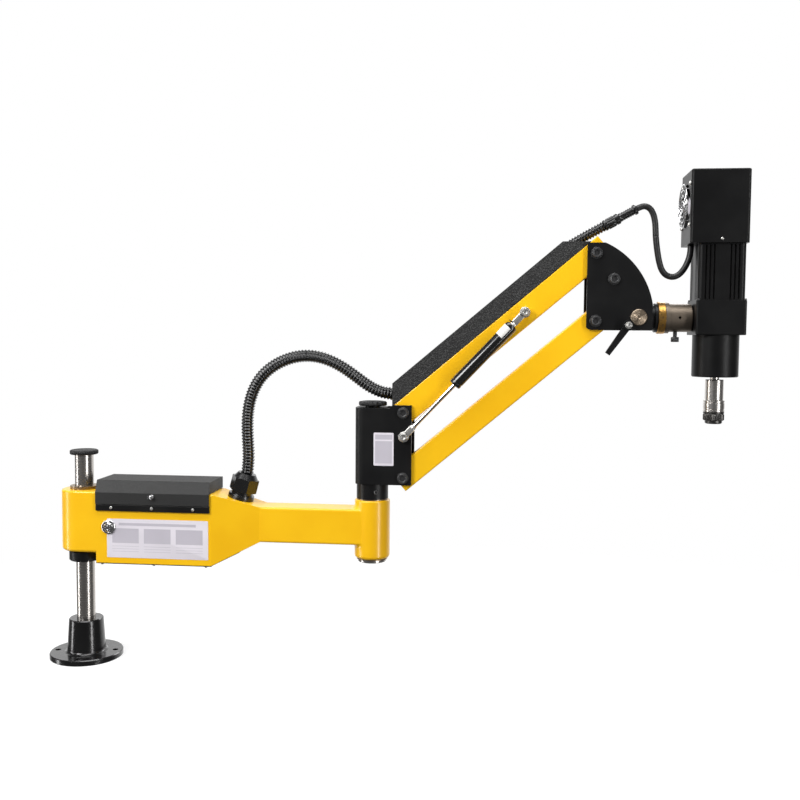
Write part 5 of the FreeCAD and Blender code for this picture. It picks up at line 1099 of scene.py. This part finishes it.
# %% The spring's line
foot, seat = joint_place("spring_foot"), joint_place("spring_head")
spring_way = (seat - foot).normalized()
spring_span = (seat - foot).length
from_seat, from_foot = facing(seat, -spring_way, FRONT), facing(foot, spring_way, FRONT)
TUBE_RADIUS, ROD_RADIUS = middle_and_half("gas_cylinder")[1].y, 4.0
TUBE_STARTS, TUBE_ENDS = 31.0, 181.0
print("spring is", round(spring_span, 1), "mm between pivots")

# %% [markdown]
# A rod end is an eye, a flat bar and a lock nut in a row. The three overlap a little,
# as if forged in one, which is simpler and cleaner than a boolean union.

# %% Rod ends
EYE, EYE_BORE, BAR_THICK, BAR_WIDE, LOCK_NUT = 9.5, 4.1, 9.0, 12.5, 10.5


def rod_end(name, pivot, way, bar, body, slot):
    """An eye at the pivot with a flat bar of this length along the spring."""
    half, edge = BAR_THICK / 2, 0.7
    along = facing(pivot, way, FRONT)
    bm = bmesh.new()
    lathe(bm, [(EYE_BORE, -half), (EYE - edge, -half), (EYE, edge - half), (EYE, half - edge),
               (EYE - edge, half), (EYE_BORE, half)], facing(pivot, FRONT), hollow=True)
    press(bm, rounded(BAR_THICK, BAR_WIDE, 1.6, 4), EYE * 0.8, bar - 3.0, along, edge=0.8)
    lathe(bm, [(hexagon(LOCK_NUT), bar - 3.2), (hexagon(LOCK_NUT), bar), (4.8, bar + 0.5),
               (4.8, bar + 2.5)], along)
    deliver(name, bm, ZINC, body, slot)


rod_end("tube_rod_end", seat, -spring_way, 30.5, "gas_cylinder", "cylinder_paint")
rod_end("rod_rod_end", foot, spring_way, 26.0, "gas_rod", "ground_steel")

# %% [markdown]
# Each eye turns on a stud: a flange against the sheet, the shank, and a washer and a
# cap screw in front that keep the eye on.

# %% Studs of the spring
EYE_FRONT, STUD_WASHER = -42.6, 0.8


def spring_stud(name, body, pivot):
    back = corners_of("spring_stud_" + name)[1].y
    screw_foot = EYE_FRONT - STUD_WASHER
    bm = bmesh.new()
    washer(bm, facing((pivot.x, EYE_FRONT, pivot.z), FRONT), 4.2, 7.5, STUD_WASHER)
    cap_screw(bm, facing((pivot.x, screw_foot, pivot.z), FRONT), 6.5, 3.4, 5.0)
    on_sheet = facing((pivot.x, back, pivot.z), FRONT)
    lathe(bm, [(9.0, 0), (9.0, 1.0), (8.2, 1.8)], on_sheet)
    lathe(bm, [(3.95, 0), (3.95, back - screw_foot + 0.2)], on_sheet)
    deliver("spring_screw_" + name, bm, ZINC, body, "black_steel", "spring_stud_" + name)


spring_stud("upper", "upper_link", seat)
spring_stud("lower", "swing_bracket", foot)

# %% [markdown]
# The tube is a drawn shell with a rolled groove near its mouth, where the rod runs
# in. It is turned hollow, since the rod moves in and out of it, and its mouth is wide
# enough for the rod's small swing.

# %% Spring tube
def spring_tube():
    wide, bore, seal = TUBE_RADIUS, ROD_RADIUS + 4.4, ROD_RADIUS + 0.5
    near, far = TUBE_STARTS, TUBE_ENDS
    bm = bmesh.new()
    lathe(bm, [(seal, near), (wide - 4.5, near), (wide - 1.6, near + 1.2), (wide - 0.3, near + 3.6),
               (wide, near + 7.0), (wide, far - 9.0), (wide - 0.7, far - 8.0), (wide - 0.7, far - 6.6),
               (wide, far - 5.6), (wide, far - 2.4), (wide - 0.8, far - 0.6), (wide - 2.4, far),
               (bore, far), (bore, near + 8.0), (seal, near + 8.0)], from_seat, sides=72, hollow=True)
    deliver("spring_tube", bm, TUBE_BLACK, "gas_cylinder", "cylinder_paint", "gas_cylinder")


spring_tube()

# %% [markdown]
# The label is paper wrapped partly round the tube, so it is a thin curved sheet and
# not a ring. It is left blank.

# %% Paper label
LABEL_FROM, LABEL_TO, LABEL_STEPS = math.radians(-12), math.radians(150), 24
PAPER_TOP, PAPER_FOOT = 0.12, -0.1


def paper_label():
    low, high = TUBE_STARTS + 8.0, TUBE_STARTS + 31.0
    edges = ((PAPER_FOOT, low), (PAPER_TOP, low), (PAPER_TOP, high), (PAPER_FOOT, high))
    bm = bmesh.new()
    rows = []
    for step in range(LABEL_STEPS + 1):
        turn = LABEL_FROM + (LABEL_TO - LABEL_FROM) * step / LABEL_STEPS
        way = Vector((math.cos(turn), math.sin(turn), 0))
        rows.append([bm.verts.new(from_seat @ (way * (TUBE_RADIUS + lift) + Vector((0, 0, height))))
                     for lift, height in edges])
    skin(bm, rows)
    deliver("paper_label", bm, PAPER, "gas_cylinder", "cylinder_paint")


paper_label()

# %% [markdown]
# The safety clip is a loop of black wire beside the upper rod end. Short straight
# lengths, each a little longer than its step, follow the oval and meet inside one
# another, so no gap shows between them.

# %% Wire clip
CLIP_STEPS, CLIP_AT, CLIP_LIFT, CLIP_HIGH, CLIP_WIDE = 24, 28.5, 5.5, 4.8, 6.2
WIRE, WIRE_OVERLAP = 0.95, 0.25


def wire_clip():
    upward, across = Vector((-spring_way.z, 0, spring_way.x)), Vector((0, 1, 0))
    centre = seat - spring_way * CLIP_AT + upward * CLIP_LIFT
    loop = [centre + upward * CLIP_HIGH * math.cos(turn) + across * CLIP_WIDE * math.sin(turn)
            for turn in turns(CLIP_STEPS)]
    bm = bmesh.new()
    for start, end in zip(loop, loop[1:] + loop[:1]):
        way = end - start
        lathe(bm, [(WIRE, -WIRE_OVERLAP), (WIRE, way.length + WIRE_OVERLAP)],
              facing(start, way, spring_way), sides=10)
    deliver("wire_clip", bm, TUBE_BLACK, "gas_cylinder", "cylinder_paint")


wire_clip()

# %% [markdown]
# The rod is plain chromed bar. It hangs on the lower pivot and the tube on the upper
# one, so the rod slides in the tube as the arm lifts, and neither is ever stretched.

# %% Spring rod
ROD_STARTS, TIP_FROM_SEAT, TIP_EDGE = 24.0, 88.2, 0.7


def spring_rod():
    tip = spring_span - TIP_FROM_SEAT
    bm = bmesh.new()
    lathe(bm, [(ROD_RADIUS, ROD_STARTS), (ROD_RADIUS, tip - TIP_EDGE), (ROD_RADIUS - TIP_EDGE, tip)],
          from_foot, sides=48)
    deliver("spring_rod", bm, CHROME, "gas_rod", "ground_steel", "gas_rod")


spring_rod()

# %% [markdown]
# ## Tilt head
# The tilt pin's ends show the rings that a lathe tool leaves, so they are turned
# with fine steps: an outline that goes in and out by a fifth of a millimetre. A
# texture of rings would do from afar, but the real steps catch the light.

# %% Tilt pin
RING_STEP, RING_DEEP = 1.5, 0.22
tilt = joint_place("head_tilt")


def tilt_pin():
    size = middle_and_half("tilt_pin")[1]
    radius, half = size.x, size.y
    face = [(radius, half - 1.2), (radius - 1.2, half)]
    reach = radius - 2.2
    while reach > 2.5:
        face.extend([(reach, half), (reach - 0.35, half - RING_DEEP), (reach - 0.7, half)])
        reach -= RING_STEP
    face.append((1.6, half - 0.8))
    profile = [(r, -h) for r, h in reversed(face)] + face
    bm = bmesh.new()
    lathe(bm, profile, facing((tilt.x, 0, tilt.z), FRONT), sides=96)
    deliver("turned_tilt_pin", bm, PIN_STEEL, "tilt_knuckle", "ground_steel", "tilt_pin", crease=20)


tilt_pin()

# %% [markdown]
# Beside the pin a brass ring carries divisions, which tell how far the head is
# rolled: one every five degrees, and every second one longer. The marks are thin
# raised bars of dark ink. Real engraving would need cuts far finer than the mesh.

# %% Divisions on the brass ring
ring_low, ring_high = corners_of("angle_ring")
RING_RADIUS = (ring_high.y - ring_low.y) / 2
DIVISIONS, LONG_MARK, SHORT_MARK, MARK_WIDE = 72, 4.4, 2.6, 0.44


def on_ring(turn, along, lift):
    """A spot on the brass ring's rim and the way out of it, at an angle from the top."""
    outward = Vector((0, math.sin(turn), math.cos(turn)))
    return Vector((ring_low.x + along, 0, tilt.z)) + outward * (RING_RADIUS + lift), outward


def ring_divisions():
    bm = bmesh.new()
    for number, turn in enumerate(turns(DIVISIONS)):
        length = SHORT_MARK if number % 2 else LONG_MARK
        spot, outward = on_ring(turn, 0.5, 0)
        press(bm, box_outline(length / 2, 0, length, MARK_WIDE), -0.05, 0.07,
              facing(spot, outward, ALONG_X))
    deliver("ring_divisions", bm, ENGRAVED, "tilt_knuckle", "brass_ring")


ring_divisions()

# %% [markdown]
# The numbers are plain degrees, every thirty both ways from the top. Blender's own
# letters are a curve, which becomes a mesh here and is laid on the rim like a mark.

# %% Numbers on the brass ring
NUMBERS, DIGIT_SIZE, DIGIT_RISE = 12, 4.2, 0.05


def ring_numbers():
    """The numbers read round the rim, with their feet towards the head."""
    bm = bmesh.new()
    for number, turn in enumerate(turns(NUMBERS)):
        curve = bpy.data.curves.new("digits", "FONT")
        curve.body = str(min(number, NUMBERS - number) * 360 // NUMBERS)
        curve.size = DIGIT_SIZE
        curve.extrude = DIGIT_RISE
        curve.align_x = "CENTER"
        curve.align_y = "CENTER"
        carrier = new_object("digits", curve)
        bpy.context.view_layer.update()
        digits = bpy.data.meshes.new_from_object(carrier)
        spot, outward = on_ring(turn, 7.4, 0.02)
        digits.transform(facing(spot, outward, -Vector(ALONG_X).cross(outward)))
        bm.from_mesh(digits)
        bpy.data.objects.remove(carrier)
        bpy.data.meshes.remove(digits)
    deliver("ring_numbers", bm, ENGRAVED, "tilt_knuckle", "brass_ring")


print("brass ring is", round(ring_high.x - ring_low.x, 1), "mm wide")
ring_numbers()

# %% [markdown]
# The clamp lever is held by one small zinc screw on a washer. The thumb screw that
# locks the roll hangs below the sleeve: a knurled head with a socket in its foot, and
# its shank above.

# %% Lever screw and thumb screw
LEVER_WASHER = 0.5


def lever_screw():
    front, pivot = corners_of("clamp_lever")[0].y, joint_place("lever_turn")
    bm = bmesh.new()
    washer(bm, facing((pivot.x, front, pivot.z), FRONT), 3.0, 6.2, LEVER_WASHER)
    cap_screw(bm, facing((pivot.x, front - LEVER_WASHER, pivot.z), FRONT), 4.6, 2.6, 3.6)
    deliver("lever_screw", bm, ZINC, "clamp_lever", "black_steel")


def thumb_screw():
    low, high = corners_of("thumb_screw")
    radius, shank, socket = (high.x - low.x) / 2, 3.5, hexagon(6.0)
    rim = knurl(radius, 40, 0.5)
    bm = bmesh.new()
    lathe(bm, [(socket, 4.0), (socket, 0.3), (4.2, 0), (radius - 1.0, 0), (rim, 1.0), (rim, 8.0),
               (radius - 0.9, 9.0), (4.4, 9.0), (shank, 9.6), (shank, high.z - low.z)],
          facing(((low.x + high.x) / 2, 0, low.z), UP, ALONG_X), sides=240)
    deliver("thumb_screw_head", bm, OILED_STEEL, "thumb_screw", "black_steel", "thumb_screw")


lever_screw()
thumb_screw()

# %% [markdown]
# ## Cable fitting
# Where the hose ends, the cable comes out of a nylon fitting: a ribbed grip, then a
# slim sleeve with fine ridges that ends in a raised ring. It is a turned part, so
# the lathe makes it along the line from the hose's end to the cable's start.

# %% Cable fitting
RIDGES, RIDGE_PITCH = 6, 4.0


def cable_fitting():
    start, end = (Vector((x, 0, z)) for x, z in (HOSE_TAIL[-1], CABLE_FIRST[0]))
    length = (end - start).length
    grip, slim = 10.0, 7.75
    ribs = knurl(grip, 16, 0.9)
    profile = [(7.8, 0), (grip - 1.0, 0), (grip, 1.0), (grip, 4.0), (grip - 1.1, 4.6), (grip - 1.1, 6.4),
               (ribs, 7.0), (ribs, 20.0), (grip - 1.1, 20.8), (grip - 1.1, 22.4), (grip, 23.0), (grip, 28.5),
               (grip - 1.6, 30.0), (slim + 0.4, 30.4)]
    for ridge in range(RIDGES):
        base = 33.0 + ridge * RIDGE_PITCH
        profile.extend([(slim, base), (slim, base + 1.6), (slim - 0.7, base + 2.1), (slim - 0.7, base + 3.5)])
    profile.extend([(slim - 0.3, length - 6.4), (slim + 1.6, length - 5.6), (slim + 1.6, length - 1.2),
                    (slim + 0.6, length - 0.2), (6.2, length)])
    bm = bmesh.new()
    lathe(bm, profile, facing(start, end - start, FRONT), sides=96)
    deliver("cable_fitting", bm, GLOSS_PLASTIC, "upper_link", "gland_plastic", "strain_relief")


cable_fitting()

# %% [markdown]
# Two small screws opposite each other hold the round housing on the bracket's post.
# Only their heads show, sunk into the housing's side.

# %% Set screws
SCREW_TURNS = (math.radians(-20), math.radians(160))


def post_set_screws():
    centre, half = middle_and_half("post_collar")
    middle = Vector((centre.x, 0, centre.z - half.z + 14.0))
    bm = bmesh.new()
    for turn in SCREW_TURNS:
        outward = Vector((-math.sin(turn), -math.cos(turn), 0))
        cap_screw(bm, facing(middle + outward * (half.x - 1.0), outward), 4.0, 1.5, 3.6)
    deliver("collar_set_screws", bm, OILED_STEEL, "swing_bracket", "black_steel")


post_set_screws()

# %% [markdown]
# ## Head
# The motor sits on a square gear housing, held by four small screws at its corners,
# and a zinc screw on either side holds the cover of the drive's box.

# %% Motor and box screws
CORNERS = [(x, y) for x in (-1, 1) for y in (-1, 1)]
COVER_SCREW_X, COVER_SCREW_Z = 53.7, 6.5


def head_screws():
    centre, half = middle_and_half("gear_housing")
    reach = half.x - 3.4
    bm = bmesh.new()
    for x, y in CORNERS:
        place = facing((centre.x + x * reach, y * reach, centre.z + half.z), UP, ALONG_X)
        cap_screw(bm, place, 2.7, 3.4, 2.5)
    deliver("motor_corner_screws", bm, OILED_STEEL, "head", "motor_black")

    low, high = corners_of("drive_box")
    bm = bmesh.new()
    for y, axis in ((low.y, FRONT), (high.y, BACK)):
        pan_screw(bm, facing((low.x + COVER_SCREW_X, y, low.z + COVER_SCREW_Z), axis, (1, 0, 0.4)), 2.6, 1.3)
    deliver("drive_box_screws", bm, ZINC, "head", "zinc_screw")


head_screws()

# %% [markdown]
# The fan's guard is screwed on at its four corners, on the square that fans of this
# size have. A round sticker without any print covers the fan's hub and turns with it.

# %% Fan screws and hub sticker
FAN_SQUARE, FAN_WASHER, STICKER = 71.5, 1.0, 14.0


def fan_details():
    box_left, middle_z = corners_of("drive_box")[0].x, middle_and_half("fan_guard")[0].z
    bm = bmesh.new()
    for side_y, side_z in CORNERS:
        y, z = side_y * FAN_SQUARE / 2, middle_z + side_z * FAN_SQUARE / 2
        washer(bm, facing((box_left, y, z), LEFT), 1.6, 4.4, FAN_WASHER)
        pan_screw(bm, facing((box_left - FAN_WASHER, y, z), LEFT), 3.4, 2.0)
    deliver("fan_guard_screws", bm, ZINC, "head", "zinc_screw")
    hub_left = corners_of("fan_rotor")[0].x
    bm = bmesh.new()
    lathe(bm, [(STICKER, 0), (STICKER, 0.15), (STICKER - 0.4, 0.25)], facing((hub_left, 0, middle_z), LEFT),
          sides=64)
    deliver("fan_hub_sticker", bm, PALE_FILM, "fan_rotor", "fan_plastic")


fan_details()

# %% [markdown]
# ## Tap chuck
# The chuck is bright turned steel. A sliding sleeve with a bead at each end frees
# the tap. It slides on the spindle, so it is hollow and its bore follows the
# spindle's size.

# %% Chuck sleeve
def chuck_sleeve():
    centre, half = middle_and_half("chuck_sleeve")
    outer, height = half.x, 2 * half.z
    bore = middle_and_half("spindle")[1].x + 0.05
    bm = bmesh.new()
    groove = outer - 0.7
    lathe(bm, [(bore, 0), (outer - 0.9, 0), (outer, 0.9), (outer, 3.4), (groove, 4.0), (groove, 5.0),
               (outer, 5.6), (outer, height - 5.6), (groove, height - 5.0), (groove, height - 4.0),
               (outer, height - 3.4), (outer, height - 1.2), (outer - 1.2, height), (bore, height)],
          facing((centre.x, 0, centre.z - half.z), UP, ALONG_X), sides=96, hollow=True)
    deliver("sliding_sleeve", bm, SPINDLE_STEEL, "chuck_sleeve", "bright_steel", "chuck_sleeve")


chuck_sleeve()

# %% [markdown]
# Below the sleeve a dark nut with a coarse straight knurl closes the collet. Its bore
# stays open for the tap's shank.

# %% Collet nut
FLUTES, TAP_BORE = 36, 4.5


def collet_nut():
    centre, half = middle_and_half("tap_collet")
    outer = half.x
    step, lip, top = 6.0, 21.0, 26.0
    flutes = knurl(outer, FLUTES, 1.1)
    bm = bmesh.new()
    lathe(bm, [(TAP_BORE, 0), (outer - 5.2, 0), (outer - 3.4, 1.6), (outer - 3.3, step),
               (outer - 1.2, step), (flutes, step + 1.4), (flutes, step + 10.5), (outer - 0.9, step + 11.6),
               (outer - 0.9, step + 12.4), (outer, step + 13.0), (outer, lip - 0.3), (outer - 0.4, lip),
               (outer - 4.0, lip), (6.0, top), (TAP_BORE, top)],
          facing((centre.x, 0, centre.z - half.z), UP, ALONG_X), sides=216, hollow=True)
    deliver("collet_nut", bm, DARK_STEEL, "spindle", "black_steel", "tap_collet")


collet_nut()
